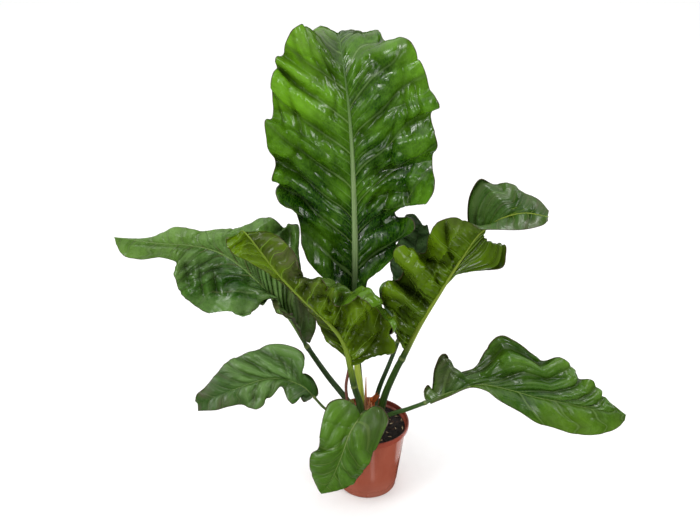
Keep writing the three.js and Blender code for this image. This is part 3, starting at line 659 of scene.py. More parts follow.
def roll_margin(leaf, half, seed):
    """Turns what lies past the margin over the blade, with lumps that a dried margin has."""
    w, walk = half["w"][:, None], half["walk"]
    over = np.maximum(walk - 1, 0) * half["width"]
    radius = ROLL_RADIUS * smooth(half["roll"] / 0.2)[:, None] + 1e-6
    turn = np.minimum(over / radius, ROLL_TURN)
    back = np.maximum(over - radius * ROLL_TURN, 0)
    outward = radius * np.sin(turn) + back * math.cos(ROLL_TURN) - radius * smooth(half["t"])
    lifted = radius * (1 - np.cos(turn)) + back * math.sin(ROLL_TURN)
    for size, wide, fine, salt in ((14, 23, 4, 7), (6, 60, 9, 12)):
        lifted = lifted + smooth(over / 12) * size * (field(w * wide, walk * fine, seed + salt) - 0.5)
    out = half["across"] / np.maximum(half["width"] * MM, 1e-6)
    lift = leaf.get("roll_to", 1) * half["up"][:, None] * lifted[..., None]
    half["out"] = out
    half["places"] = half["places"] + (out[:, None] * outward[..., None] + lift) * MM


for name, leaf in LEAVES.items():
    sizes = [plain_half(leaf, leaf_lines(leaf)[1], k, 0)["width"].max() for k in (0, 1)]
    print(f"{name}: halves {sizes[0]:.0f} and {sizes[1]:.0f} mm wide")

# %% [markdown]
# ## The blade of a leaf: its veins and its margin's waves
# The side veins leave the midrib at a slant and run forward to the margin, and everything on the leaf
# follows them. So each point gets a number that goes up by one from each vein to the next, its
# `phase`: it says how far along the midrib a slanting vein through this point would have started. The
# waves of the margin run on into the blade along the veins.

# %% Veins and waves
def number_veins(leaf, midrib, half, k, seed):
    """Which vein a point is near. Also keeps where on the midrib its vein starts, there and at the margin."""
    w, t, across, along = half["w"], half["t"], half["across"], half["along"]
    ahead = (across * along).sum(1)
    aside = np.linalg.norm(across - ahead[:, None] * along, axis=1)
    begun = half["share"] * midrib.length
    at_margin = begun + smooth(w / 0.12) * (ahead - leaf["forward"][k] * aside)
    kernel = np.hanning(max(leaf["rows"] // 9, 3))
    padded = np.pad(at_margin, len(kernel) // 2, mode="edge")
    at_margin = np.convolve(padded, kernel / kernel.sum(), mode="same")[len(kernel) // 2 :][: len(w)]
    at_margin = np.maximum.accumulate(at_margin) + 1e-5 * w
    at_margin = begun[0] + (at_margin - at_margin[0]) * (begun[-1] - begun[0]) / np.ptp(at_margin)
    bent = t**0.62  # a side vein leaves the midrib steeply and then bends forward
    origin = begun[:, None] * (1 - bent) + at_margin[:, None] * bent
    phase = origin / midrib.length * leaf["veins"] + (0.45, 0.0)[k]
    phase = phase + 0.6 * leaf.get("wander", 1) * (field(phase / 1.7, 0.5, seed + 8) - 0.5)
    phase = phase + 0.4 * bent * (field(phase / 2.2, half["walk"] * 3.0, seed + 9) - 0.5)
    half.update(phase=phase, origin=origin, at_margin=at_margin)


def wave_margin(leaf, half, k):
    """The margin's own waves, carried inwards along the veins, in mm towards the camera."""
    w, margin = half["w"], half["margin"]
    wide = margin.eased(w, 0.03) + margin.eased(w, 0.06) - 2 * margin.at(w)
    lobes = -(wide * half["out"]).sum(1)
    lobes = lobes / max(np.abs(lobes).max(), 1e-6)
    lobes = np.interp(half["origin"], half["at_margin"], np.clip(lobes * 1.6, -1, 1))
    return lobes * half["walk"] ** leaf.get("waves_in", 1.1) * leaf["waves"][k]


def half_blade(leaf, midrib, k, seed):
    """One half of a blade: its places, and the numbers that its relief and its colours follow."""
    half = plain_half(leaf, midrib, k, seed)
    roll_margin(leaf, half, seed)
    number_veins(leaf, midrib, half, k, seed)
    w, walk, whole = half["w"], half["walk"], (1 + half["roll"])[:, None]
    fresh = keyed(leaf["fresh"][k], w)[:, None]
    blush = keyed(leaf["blush"][k] if "blush" in leaf else [0], w)[:, None]
    return dict(
        places=half["places"],
        phase=half["phase"],
        fold=wave_margin(leaf, half, k),
        from_rib=half["width"] * walk,
        to_margin=half["width"] * (whole - walk),
        fresh=fresh * (1 - (1 - leaf.get("middle", 0.8)) * (1 - smooth(walk))),
        blush=blush * (0.35 + 0.65 * smooth(walk / 0.7)),
        pleats=keyed(leaf["pleats"][k], w)[:, None] + 0 * walk,
        relief=keyed(leaf["relief"][k], w)[:, None] + 0 * walk,
        crumple=keyed(leaf.get("crumple", [0.8]), w)[:, None] + 0 * walk,
    )


print("veins numbered on", len(SIDES), "halves of a leaf")

# %% [markdown]
# ## The blade of a leaf: quilting and folds
# The tissue swells between the veins, more on some cushions than on others. Puffs and dents stand on
# the swellings, fine pleats run beside the midrib, some patches are crumpled, low ripples cross from
# vein to vein, and the margin is frilled. Each is a height in mm at each point of the grid, so they
# can simply be added. The folds that the photograph shows are drawn over it as lines: near a line the
# blade comes towards the camera, or sinks away from it.

# %% Relief of a blade
def cushions(x, y, seed):
    """Puffs parted by creases: about 0 in a crease, 1 on a puff."""
    rise = 2.4 * np.abs(2 * field(x, y, seed) - 1)
    return np.sqrt(np.minimum(rise, 1) ** 2 + 0.03)


def quilting(leaf, half, seed):
    """How far the tissue stands out in mm, and how much of that darkens the hollows as painted shade."""
    phase, from_rib = half["phase"], half["from_rib"]
    full = from_rib + half["to_margin"]
    t = from_rib / np.maximum(full, 1e-6)
    size = smooth(full / 70)  # narrow parts of a blade, below 70 mm, have less relief

    # the swelling between two veins, plumper on some cushions
    swell = np.sqrt(np.sin(np.pi * phase) ** 2 + 0.02)
    plump = 0.1 + 1.5 * field(phase * 0.9 + 0.5, from_rib / 52, seed + 5)
    main = (swell * plump - 0.45) * smooth(t / 0.12) * (1 - 0.5 * smooth((t - 0.7) / 0.3))

    # three fine pleats for each vein, beside the midrib
    bend = 1.8 * field(phase * 1.1, t * 2.5, seed)
    fine = np.sqrt(np.sin(3 * np.pi * phase + bend) ** 2 + 0.01) - 0.6
    fine *= smooth(t / 0.05) * (1 - 0.9 * smooth((t - 0.25) / 0.45)) * half["pleats"] * 1.4

    # puffs about 48 mm long that lie aslant of the veins, and smaller dents on them
    stray = phase + 0.5 * (field(phase * 1.5, from_rib / 32, seed + 13) - 0.5)
    aslant = from_rib / 48 + 1.6 * field(phase * 0.9, from_rib / 80, seed + 16)
    puffs = (cushions(stray * 1.1 + 3, aslant, seed + 1) - 0.6) * smooth(t / 0.15)
    dents = (cushions(stray * 2.9, aslant * 1.4 + 5, seed + 7) - 0.6) * smooth(t / 0.12)
    dents *= 0.3 + 0.7 * swell

    # crumpled patches with creases 13 mm apart
    crumple = (cushions(stray * 4.1, from_rib / 13, seed + 14) - 0.6) * smooth((t - 0.1) / 0.3)
    crumple *= half["crumple"] * smooth((field(phase * 0.9 + 5, from_rib / 45, seed + 15) - 0.35) / 0.3)

    # low ripples 17 mm apart, across from vein to vein, in some places only
    wander = 2.2 * field(phase * 1.2, from_rib / 45, seed + 2)
    ripples = np.sqrt(np.sin(np.pi * (from_rib / 17 + wander)) ** 2 + 0.02) - 0.55
    ripples *= swell * smooth((field(phase * 1.1 + 9, from_rib / 60, seed + 3) - 0.45) / 0.25)
    ripples *= smooth(t / 0.1)

    frill = leaf["ruffle"] * (field(phase * 2.6, 0 * t, seed + 4) - 0.5) * smooth((t - 0.7) / 0.3)
    deep = half["relief"] * (
        leaf.get("swell", 1) * main
        + leaf.get("puffs", 0.5) * puffs
        + leaf.get("dents", 0.2) * dents
        + leaf.get("ripples", 0.25) * ripples
    )
    return size * (deep + fine + crumple + frill), size * (deep + 0.4 * fine + 0.45 * crumple)


FOLD_SAMPLES = 70


def drawn_folds(leaf, places):
    """Folds drawn over the photograph, in mm towards the camera: soft crests and sharp valleys."""
    u, v = on_photo(places)
    height = 0 * u
    for rise, reach, points in leaf.get("folds", ()):
        line = Line([[a, b, 0] for a, b in points]).at(np.linspace(0, 1, FOLD_SAMPLES))
        far = np.hypot(u[..., None] - line[:, 0], v[..., None] - line[:, 1])
        share = far.argmin(-1) / (FOLD_SAMPLES - 1)
        far = far.min(-1) / reach
        shape = np.exp(-(far**2)) if rise > 0 else np.exp(-1.2 * np.sqrt(far**2 + 0.02))
        height += rise * shape * smooth(share / 0.2) * smooth((1 - share) / 0.3)
    return height


print("a cushion rises from", cushions(np.arange(99) / 9, 0.5, 1).min().round(2), "to 1")

# %% [markdown]
# ## The blade of a leaf: the sheet
# Both halves are joined along the midrib, and each point is moved out along the surface's normal by
# its relief, and towards the camera by its folds. To give it a thickness, the grid is laid twice,
# half a millimetre to either side, and closed along the margin.

# %% Sheet of a blade
THICKNESS = 1.1  # mm, a leathery blade


def normals_of(grid):
    """Unit vectors square to a grid, towards the upper face."""
    out = np.cross(np.gradient(grid, axis=1), np.gradient(grid, axis=0))
    return out / np.maximum(np.linalg.norm(out, axis=2, keepdims=True), 1e-12)


def blade_grid(leaf, midrib, seed):
    """The whole blade from the left margin over the midrib to the right margin."""
    halves = []
    for k in (0, 1):
        half = half_blade(leaf, midrib, k, seed + 10 * k)
        half["height"], half["hollow"] = quilting(leaf, half, seed + 10 * k)
        halves.append(half)
    grid = {key: np.concatenate([halves[0][key][:, :0:-1], halves[1][key]], axis=1) for key in halves[0]}
    places = grid["places"]
    places = places + normals_of(places) * (grid["height"] * MM)[..., None]
    grid["drawn"] = drawn_folds(leaf, places)
    grid["fold"] = grid["fold"] + grid["drawn"]
    to_eye = EYE - places
    to_eye /= np.linalg.norm(to_eye, axis=2, keepdims=True)
    grid["places"] = places + to_eye * (MM * grid["fold"])[..., None]
    return grid


def blade_mesh(name, grid, materials):
    """A closed thin sheet on the grid, with materials for its upper face, its underside and its rim."""
    rows, columns = grid["places"].shape[:2]
    rise = normals_of(grid["places"]) * (THICKNESS * MM / 2)
    sheets = [(grid["places"] + way * rise).reshape(-1, 3) for way in (1, -1)]
    count = rows * columns
    index = np.arange(count).reshape(rows, columns)
    quads = grid_faces(rows, columns)
    loop = np.concatenate([index[0, :-1], index[:-1, -1], index[-1, :0:-1], index[:0:-1, 0]])
    ahead = np.roll(loop, -1)
    rim = np.stack([ahead, loop, loop + count, ahead + count], 1)
    made = piece(name, np.concatenate(sheets), np.concatenate([quads, quads[:, ::-1] + count, rim]).tolist())
    for key in ("phase", "from_rib", "to_margin", "fresh", "blush", "height", "hollow", "fold", "drawn"):
        note(made.data, key, np.tile(grid[key].ravel(), 2))
    for material in materials:
        made.data.materials.append(material)
    slots = np.repeat([0, 1, 2], [len(quads), len(quads), len(rim)])
    made.data.polygons.foreach_set("material_index", slots.astype(np.int32))
    return made


print("a blade is", THICKNESS, "mm thick")

# %% [markdown]
# ## Living leaf: what both faces share
# A leaf is not dyed or painted, so its colour is never even. Old tissue browns in streaks along the
# veins, shade is painted into the green in the hollows of the quilting and in the folds, and a thin
# brown-purple line follows the margin. Each is a small function that takes a green and gives one back.

# %% Blush, painted shade and margin line
def blushed(t, green, flat):
    """Browns a green where the leaf's blush says so, in streaks along the veins."""
    blush = add(t, "ShaderNodeAttribute", attribute_name="blush").outputs["Fac"]
    place = add(t, "ShaderNodeVectorMath", {0: flat, 1: (3, 0.02, 1)}, operation="MULTIPLY").outputs[0]
    streaks = add(t, "ShaderNodeTexNoise", {"Vector": place, "Scale": 1, "Detail": 3}).outputs[0]
    streaks = add(t, "ShaderNodeMapRange", {"Value": streaks, 1: 0.38, 2: 0.68, 3: 0.1, 4: 0.9}).outputs[0]
    share = add(t, "ShaderNodeMath", {0: blush, 1: streaks}, operation="MULTIPLY").outputs[0]
    return add(t, "ShaderNodeMix", {0: share, 6: green, 7: colour("#565040")}, data_type="RGBA").outputs[2]


def with_painted_shade(t, green, face):
    """Paints light and shade into a green: darker in hollows, valleys and folds that sink away, lighter on
    crests and folds that come forward, with face 1 for the upper face and -1 for the other.
    """
    hollow, fold, drawn = (
        add(t, "ShaderNodeAttribute", attribute_name=key).outputs["Fac"] for key in ("hollow", "fold", "drawn")
    )
    out = add(t, "ShaderNodeMath", {0: hollow, 1: face}, operation="MULTIPLY").outputs[0]
    out = add(t, "ShaderNodeMath", {0: fold, 1: 0.25, 2: out}, operation="MULTIPLY_ADD").outputs[0]
    out = add(t, "ShaderNodeMath", {0: drawn, 1: 0.2, 2: out}, operation="MULTIPLY_ADD").outputs[0]
    # painted light and shade: the green is darker in hollows and valleys, lighter on crests
    dark = add(t, "ShaderNodeMapRange", {"Value": out, 1: -6, 2: 4, 3: 0.44, 4: 1.1}).outputs[0]
    return add(t, "ShaderNodeVectorMath", {0: green, "Scale": dark}, operation="SCALE").outputs[0]


def margined(t, green, to_margin):
    """Draws the margin's brown-purple line, 0.5 mm wide in life and 1.5 mm here, so that it shows."""
    edge = add(t, "ShaderNodeMapRange", {"Value": to_margin, 1: 0.8, 2: 1.9, 3: 0.85, 4: 0}).outputs[0]
    return add(t, "ShaderNodeMix", {0: edge, 6: green, 7: colour("#3a2a1c")}, data_type="RGBA").outputs[2]


print("three finishes that both faces of a leaf share")

# %% [markdown]
# ## Living leaf: the upper face
# The upper face is a waxy skin (IOR about 1.45) over tissue that drifts between a deep green and a
# fresh yellow-green over a hand's breadth. The side veins lie in grooves darkened by painted shade and
# are paler, with three finer ones between two main ones, and a net of tiny veins about 6 mm wide closes
# the pattern and shows in the highlight as a faint hammering. Grey sheen is painted on the crests.

# %% Material of the upper face
def leaf_upper(name, deep, fresh, vein, rough, painted_sheen):
    material, t, place = blank_material(name)
    phase, from_rib, to_margin, freshness, crest = (
        add(t, "ShaderNodeAttribute", attribute_name=key).outputs["Fac"]
        for key in ("phase", "from_rib", "to_margin", "fresh", "height")
    )
    flat = add(t, "ShaderNodeCombineXYZ", {0: phase, 1: from_rib}).outputs[0]

    # broad drift of the green, 125 mm wide, and a mottle of 15 mm
    drift = add(t, "ShaderNodeTexNoise", {"Vector": place, "Scale": per(125), "Detail": 2}).outputs[0]
    mottle = add(t, "ShaderNodeTexNoise", {"Vector": place, "Scale": per(15.4), "Detail": 3}).outputs[0]
    mixed = add(t, "ShaderNodeMath", {0: mottle, 1: 0.35, 2: drift}, operation="MULTIPLY_ADD").outputs[0]
    mixed = add(t, "ShaderNodeMath", {0: freshness, 1: 0.55, 2: mixed}, operation="MULTIPLY_ADD").outputs[0]
    share = add(t, "ShaderNodeMapRange", {"Value": mixed, 1: 0.6, 2: 1.2}).outputs[0]
    green = add(t, "ShaderNodeMix", {0: share, 6: colour(deep), 7: colour(fresh)}, data_type="RGBA").outputs[2]

    # fine streaks of lighter and darker tissue along the veins, nine to a vein and 22 mm long
    strands = add(t, "ShaderNodeVectorMath", {0: flat, 1: (9, 1 / 22, 1)}, operation="MULTIPLY").outputs[0]
    strands = add(t, "ShaderNodeTexNoise", {"Vector": strands, "Scale": 1, "Detail": 3}).outputs[0]
    strands = add(t, "ShaderNodeMapRange", {"Value": strands, 1: 0.3, 2: 0.7, 3: 0.86, 4: 1.14}).outputs[0]
    green = add(t, "ShaderNodeVectorMath", {0: green, "Scale": strands}, operation="SCALE").outputs[0]

    # the side veins: a pale line in a groove darkened with painted shade, the line fading towards the margin
    main = add(t, "ShaderNodeMath", {0: phase, 1: 0.5}, operation="PINGPONG").outputs[0]
    groove_shade = add(t, "ShaderNodeMapRange", {"Value": main, 1: 0.02, 2: 0.13, 3: 0.7, 4: 1}).outputs[0]
    green = add(t, "ShaderNodeMix", {0: 1, 6: green, 7: groove_shade}, data_type="RGBA",
                blend_type="MULTIPLY").outputs[2]
    line = add(t, "ShaderNodeMapRange", {"Value": main, 1: 0.02, 2: 0.045, 3: 0.55, 4: 0}).outputs[0]
    fade = add(t, "ShaderNodeMapRange", {"Value": from_rib, 1: 5, 2: 130, 3: 1, 4: 0.2}).outputs[0]
    line = add(t, "ShaderNodeMath", {0: line, 1: fade}, operation="MULTIPLY").outputs[0]

    # three fine veins between two main ones, beside the midrib only
    fine = add(t, "ShaderNodeMath", {0: phase, 1: 3}, operation="MULTIPLY").outputs[0]
    fine = add(t, "ShaderNodeMath", {0: fine, 1: 0.5}, operation="PINGPONG").outputs[0]
    thin = add(t, "ShaderNodeMapRange", {"Value": fine, 1: 0.03, 2: 0.08, 3: 0.3, 4: 0}).outputs[0]
    width = add(t, "ShaderNodeMath", {0: from_rib, 1: to_margin}, operation="ADD").outputs[0]
    reach = add(t, "ShaderNodeMath", {0: from_rib, 1: width}, operation="DIVIDE").outputs[0]
    near = add(t, "ShaderNodeMapRange", {"Value": reach, 1: 0.04, 2: 0.3, 3: 1, 4: 0}).outputs[0]
    thin = add(t, "ShaderNodeMath", {0: thin, 1: near}, operation="MULTIPLY").outputs[0]
    line = add(t, "ShaderNodeMath", {0: line, 1: thin}, operation="MAXIMUM").outputs[0]
    green = add(t, "ShaderNodeMix", {0: line, 6: green, 7: colour(vein)}, data_type="RGBA").outputs[2]

    # the net of tiny veins, 6 mm wide, drawn on the flattened leaf
    spread = add(t, "ShaderNodeVectorMath", {0: flat, 1: (8, 1 / 6, 1)}, operation="MULTIPLY").outputs[0]
    net = add(t, "ShaderNodeTexVoronoi", {"Vector": spread, "Scale": 1},
              feature="DISTANCE_TO_EDGE").outputs["Distance"]
    net_line = add(t, "ShaderNodeMapRange", {"Value": net, 1: 0, 2: 0.12, 3: 0.22, 4: 0}).outputs[0]
    green = add(t, "ShaderNodeMix", {0: net_line, 6: green, 7: colour(fresh)}, data_type="RGBA").outputs[2]

    # painted sheen: the crests are greyed as if the wax caught the light there
    crest = add(t, "ShaderNodeMath", {0: mottle, 1: 5, 2: crest}, operation="MULTIPLY_ADD").outputs[0]
    # painted sheen, stronger where the crest stands higher
    crest = add(t, "ShaderNodeMapRange", {"Value": crest, 1: 1.5, 2: 7, 3: 0, 4: painted_sheen}).outputs[0]
    green = add(t, "ShaderNodeMix", {0: crest, 6: green, 7: colour("#7d9a62")}, data_type="RGBA").outputs[2]
    green = margined(t, with_painted_shade(t, blushed(t, green, flat), 1.0), to_margin)

    # relief too fine for the mesh: the net, and pores of the skin, drawn 1.4 mm apart so that they show
    pores = add(t, "ShaderNodeTexNoise", {"Vector": place, "Scale": per(1.43), "Detail": 2}).outputs[0]
    height = add(t, "ShaderNodeMath", {0: pores, 1: 0.12, 2: net}, operation="MULTIPLY_ADD").outputs[0]
    bump = add(t, "ShaderNodeBump", {"Height": height, "Distance": 0.0008, "Strength": 0.3}).outputs[0]
    wax = add(t, "ShaderNodeMapRange", {"Value": mottle, 1: 0.3, 2: 0.7, 3: rough - 0.05,
                                        4: rough + 0.09}).outputs[0]
    shader = add(t, "ShaderNodeBsdfPrincipled", {
        "Base Color": green, "Roughness": wax, "Normal": bump, "IOR": 1.45})
    add(t, "ShaderNodeOutputMaterial", {"Surface": shader.outputs[0]})
    return material


print("the wax is drawn on the leaf's own pattern of veins")

# %% [markdown]
# ## Living leaf: the underside and the rim
# The underside has less wax. It is more olive, because light comes through the tissue, and its veins
# stand out as ridges that are a little paler. The same pattern serves, with a weaker net. The rim of
# the blade has the brown-purple of the margin.

# %% Materials of the underside and the rim
def leaf_under(name, deep, fresh, vein, rough=0.5):
    material, t, place = blank_material(name)
    phase, from_rib, to_margin, freshness = (
        add(t, "ShaderNodeAttribute", attribute_name=key).outputs["Fac"]
        for key in ("phase", "from_rib", "to_margin", "fresh")
    )
    flat = add(t, "ShaderNodeCombineXYZ", {0: phase, 1: from_rib}).outputs[0]

    # drift of the green, 110 mm wide, and a mottle of 8 mm
    drift = add(t, "ShaderNodeTexNoise", {"Vector": place, "Scale": per(111), "Detail": 2}).outputs[0]
    mottle = add(t, "ShaderNodeTexNoise", {"Vector": place, "Scale": per(8.3), "Detail": 4}).outputs[0]
    mixed = add(t, "ShaderNodeMath", {0: mottle, 1: 0.15, 2: drift}, operation="MULTIPLY_ADD").outputs[0]
    mixed = add(t, "ShaderNodeMath", {0: freshness, 1: 0.4, 2: mixed}, operation="MULTIPLY_ADD").outputs[0]
    share = add(t, "ShaderNodeMapRange", {"Value": mixed, 1: 0.6, 2: 1.1}).outputs[0]
    green = add(t, "ShaderNodeMix", {0: share, 6: colour(deep), 7: colour(fresh)}, data_type="RGBA").outputs[2]

    # main veins, and three fine ones between them, fading towards the margin
    main = add(t, "ShaderNodeMath", {0: phase, 1: 0.5}, operation="PINGPONG").outputs[0]
    fine = add(t, "ShaderNodeMath", {0: phase, 1: 3}, operation="MULTIPLY").outputs[0]
    fine = add(t, "ShaderNodeMath", {0: fine, 1: 0.5}, operation="PINGPONG").outputs[0]
    line = add(t, "ShaderNodeMapRange", {"Value": main, 1: 0.012, 2: 0.035, 3: 0.35, 4: 0}).outputs[0]
    thin = add(t, "ShaderNodeMapRange", {"Value": fine, 1: 0.02, 2: 0.06, 3: 0.2, 4: 0}).outputs[0]
    near = add(t, "ShaderNodeMapRange", {"Value": from_rib, 1: 5, 2: 90, 3: 1, 4: 0.2}).outputs[0]
    line = add(t, "ShaderNodeMath", {0: line, 1: thin}, operation="MAXIMUM").outputs[0]
    line = add(t, "ShaderNodeMath", {0: line, 1: near}, operation="MULTIPLY").outputs[0]
    green = add(t, "ShaderNodeMix", {0: line, 6: green, 7: colour(vein)}, data_type="RGBA").outputs[2]
    green = margined(t, with_painted_shade(t, blushed(t, green, flat), -1.0), to_margin)

    # a faint net of 5 mm in the skin
    net = add(t, "ShaderNodeTexVoronoi", {"Vector": place, "Scale": per(5.3)},
              feature="DISTANCE_TO_EDGE").outputs["Distance"]
    height = add(t, "ShaderNodeMath", {0: mottle, 1: 0.6, 2: net}, operation="MULTIPLY_ADD").outputs[0]
    bump = add(t, "ShaderNodeBump", {"Height": height, "Distance": 0.001, "Strength": 0.1}).outputs[0]
    skin = add(t, "ShaderNodeMapRange", {"Value": mottle, 1: 0.3, 2: 0.7, 3: rough - 0.06,
                                         4: rough + 0.1}).outputs[0]
    shader = add(t, "ShaderNodeBsdfPrincipled", {
        "Base Color": green, "Roughness": skin, "Normal": bump, "IOR": 1.42})
    add(t, "ShaderNodeOutputMaterial", {"Surface": shader.outputs[0]})
    return material


def leaf_rim():
    """The thin edge of the blade: brown-purple, in patches of 11 mm."""
    material, t, place = blank_material("leaf_margin_brown_purple")
    patches = add(t, "ShaderNodeTexNoise", {"Vector": place, "Scale": per(11.1)}).outputs[0]
    tone = add(t, "ShaderNodeMix", {0: patches, 6: colour("#2c1f17"), 7: colour("#5a4a2c")},
               data_type="RGBA").outputs[2]
    shader = add(t, "ShaderNodeBsdfPrincipled", {"Base Color": tone, "Roughness": 0.5})
    add(t, "ShaderNodeOutputMaterial", {"Surface": shader.outputs[0]})
    return material


RIM = leaf_rim()
print("the rim is", RIM.name)

# %% [markdown]
# ## Rods along paths
# The stalk goes on as the midrib, and from that the side veins branch. All of them are rods that
# follow a path, so one geometry tree grows them: it turns each path into a curve, bends a finely
# ridged round profile along it, and scales the profile by the girth noted at each point of the path.

# %% Tree that grows rods
def rods_tree():
    inputs = {"Paths": "Geometry", "Sides": "Int", "Ridges": "Float", "Ridge Depth": "Float",
              "Material": "Material"}
    tree, given = blank_tree("rods_along_paths", inputs, "Rods")

    # the ridged profile, which keeps how far round a point is
    ring = add(tree, "GeometryNodeCurvePrimitiveCircle", {"Resolution": given["Sides"], "Radius": 1})
    turn = add(tree, "GeometryNodeSplineParameter").outputs["Factor"]
    ring = add(tree, "GeometryNodeStoreNamedAttribute", {"Geometry": ring.outputs["Curve"], "Name": "around",
                                                         "Value": turn}, data_type="FLOAT")
    angle = add(tree, "ShaderNodeMath", {0: turn, 1: 2 * math.pi}, operation="MULTIPLY").outputs[0]
    angle = add(tree, "ShaderNodeMath", {0: angle, 1: given["Ridges"]}, operation="MULTIPLY").outputs[0]
    crest = add(tree, "ShaderNodeMath", {0: angle}, operation="COSINE").outputs[0]
    crest = add(tree, "ShaderNodeMath", {0: crest, 1: given["Ridge Depth"]}, operation="MULTIPLY").outputs[0]
    where = add(tree, "GeometryNodeInputPosition").outputs[0]
    out = add(tree, "ShaderNodeVectorMath", {0: where, "Scale": crest}, operation="SCALE").outputs[0]
    ring = add(tree, "GeometryNodeSetPosition", {"Geometry": ring.outputs[0], "Offset": out})

    # the profile bent along each path
    curve = add(tree, "GeometryNodeMeshToCurve", {"Mesh": given["Paths"]})
    girth = add(tree, "GeometryNodeInputNamedAttribute", {"Name": "girth"}, data_type="FLOAT").outputs[0]
    rods = add(tree, "GeometryNodeCurveToMesh", {"Curve": curve.outputs[0], "Profile Curve": ring.outputs[0],
                                                 "Scale": girth, "Fill Caps": True})
    rods = add(tree, "GeometryNodeSetShadeSmooth", {"Geometry": rods.outputs[0]})
    rods = add(tree, "GeometryNodeRealizeInstances", {"Geometry": rods.outputs[0]})
    rods = add(tree, "GeometryNodeSetMaterial", {"Geometry": rods.outputs[0], "Material": given["Material"]})
    add(tree, "NodeGroupOutput", {"Rods": rods.outputs[0]})
    return tree


RODS = rods_tree()


def rods(name, paths, material, sides, ridges=6.0, depth=0.0):
    """One piece of rods: each path is (places, girths, kind), kind being kept for the material."""
    places, edges, girths, kinds, shares = [], [], [], [], []
    for line, girth, kind in paths:
        first = len(places)
        places.extend(line)
        edges.extend((first + i, first + i + 1) for i in range(len(line) - 1))
        girths.extend(girth)
        kinds.extend([kind] * len(line) if np.isscalar(kind) else kind)
        shares.extend(np.linspace(0, 1, len(line)))
    made = piece(name, places, [], edges)
    for key, values in (("girth", girths), ("kind", kinds), ("share", shares)):
        note(made.data, key, values)
    return run_tree(made, RODS, Sides=sides, Ridges=ridges, Ridge_Depth=depth, Material=material)


print("rods grow by", len(RODS.nodes), "nodes")

# %% [markdown]
# ## Leaf stalk, midrib and side veins
# The stalk is thick and round, a swollen light joint sits just below the blade, and the midrib tapers
# from there to the tip, so they are one path. Each side vein is found on the finished blade, by
# following one whole number of `phase` from the midrib outwards, and is sunk towards the underside,
# where it stands out as a ridge.

# %% Paths of one leaf
STALK_FOOT = (128, 146)  # mm above the floor: two points of the stalk inside the soil
RIB_TAPER = (0.62, 0.4, 0.31, 0.24, 0.16, 0.08)  # girths of a midrib, as shares of the joint's
VEIN_SINK = 0.4  # mm


def stalk_path(leaf, path, petiole_share):
    """The stalk from inside the soil to the tip of the midrib, its girths and what each point is."""
    thick, joint = (r * MM for r in leaf["radii"])
    share = np.concatenate([np.linspace(0.02, 1, 64) * petiole_share,
                            petiole_share + (1 - petiole_share) * np.linspace(0, 1, 90)[1:]])
    stop = share / petiole_share
    plain = thick + (joint * 0.86 - thick) * np.clip(stop, 0, 1)
    swell = smooth((stop - 0.93) / 0.03) * (1 - smooth((stop - 0.985) / 0.015))
    beyond = np.clip((share - petiole_share) / (1 - petiole_share), 0, 1)
    ribs = leaf.get("ribs", [leaf["radii"][1] * k for k in RIB_TAPER])
    midrib = keyed(ribs, beyond) * MM
    girth = np.where(stop <= 1, plain + (joint - plain) * swell, midrib)
    kind = np.where(stop <= 1, stop, 1 + beyond)
    foot = np.array([[*leaf["foot"], height] for height in STALK_FOOT]) * MM
    line = np.vstack([foot, path.at(share)])
    return line, np.concatenate([[thick] * 2, girth]), np.concatenate([[0, 0], kind])


def vein_paths(leaf, grid):
    """A path along every side vein of a blade, sunk a little to the underside."""
    places, normal = grid["places"], normals_of(grid["places"])
    rows = np.arange(places.shape[0])
    middle, paths = leaf["columns"], []
    for hand in (-1, 1):
        span = middle + hand * np.unique(np.linspace(1, leaf["columns"] - 2, 22).astype(int))
        for number in range(1, leaf["veins"]):
            line, girth = [], []
            for k, j in enumerate(span):
                phase = grid["phase"][:, j]
                if not phase[0] + 0.05 < number < phase[-1] - 0.05:
                    continue
                row = np.interp(number, phase, rows)
                i = min(int(row), len(rows) - 2)
                here, out = (a[i, j] * (1 - row + i) + a[i + 1, j] * (row - i) for a in (places, normal))
                line.append(here - out * VEIN_SINK * MM)
                girth.append((1.3 - 0.95 * (k / len(span)) ** 0.6) * MM * leaf["radii"][1] / 7)
            if len(line) > 5:
                paths.append((line, girth, 3.0))
    return paths


print("a stalk starts", STALK_FOOT[0], "mm above the floor, inside the soil")

# %% [markdown]
# ## Finish of stalks and veins
# One material dresses the whole run. The number `kind` says where a point is: 0 to 1 up the stalk,
# 1 to 2 along the midrib, 3 on a side vein. The stalk is dark green with fine lengthwise streaks and
# ridges, as on celery, and the joint is a light yellow-green. The midrib is paler than the blade, and
# on the tall leaf it takes on the blade's green towards its tip.

# %% Material of stalks and veins
RIDGES = 12  # fine lengthwise ridges around a leaf stalk


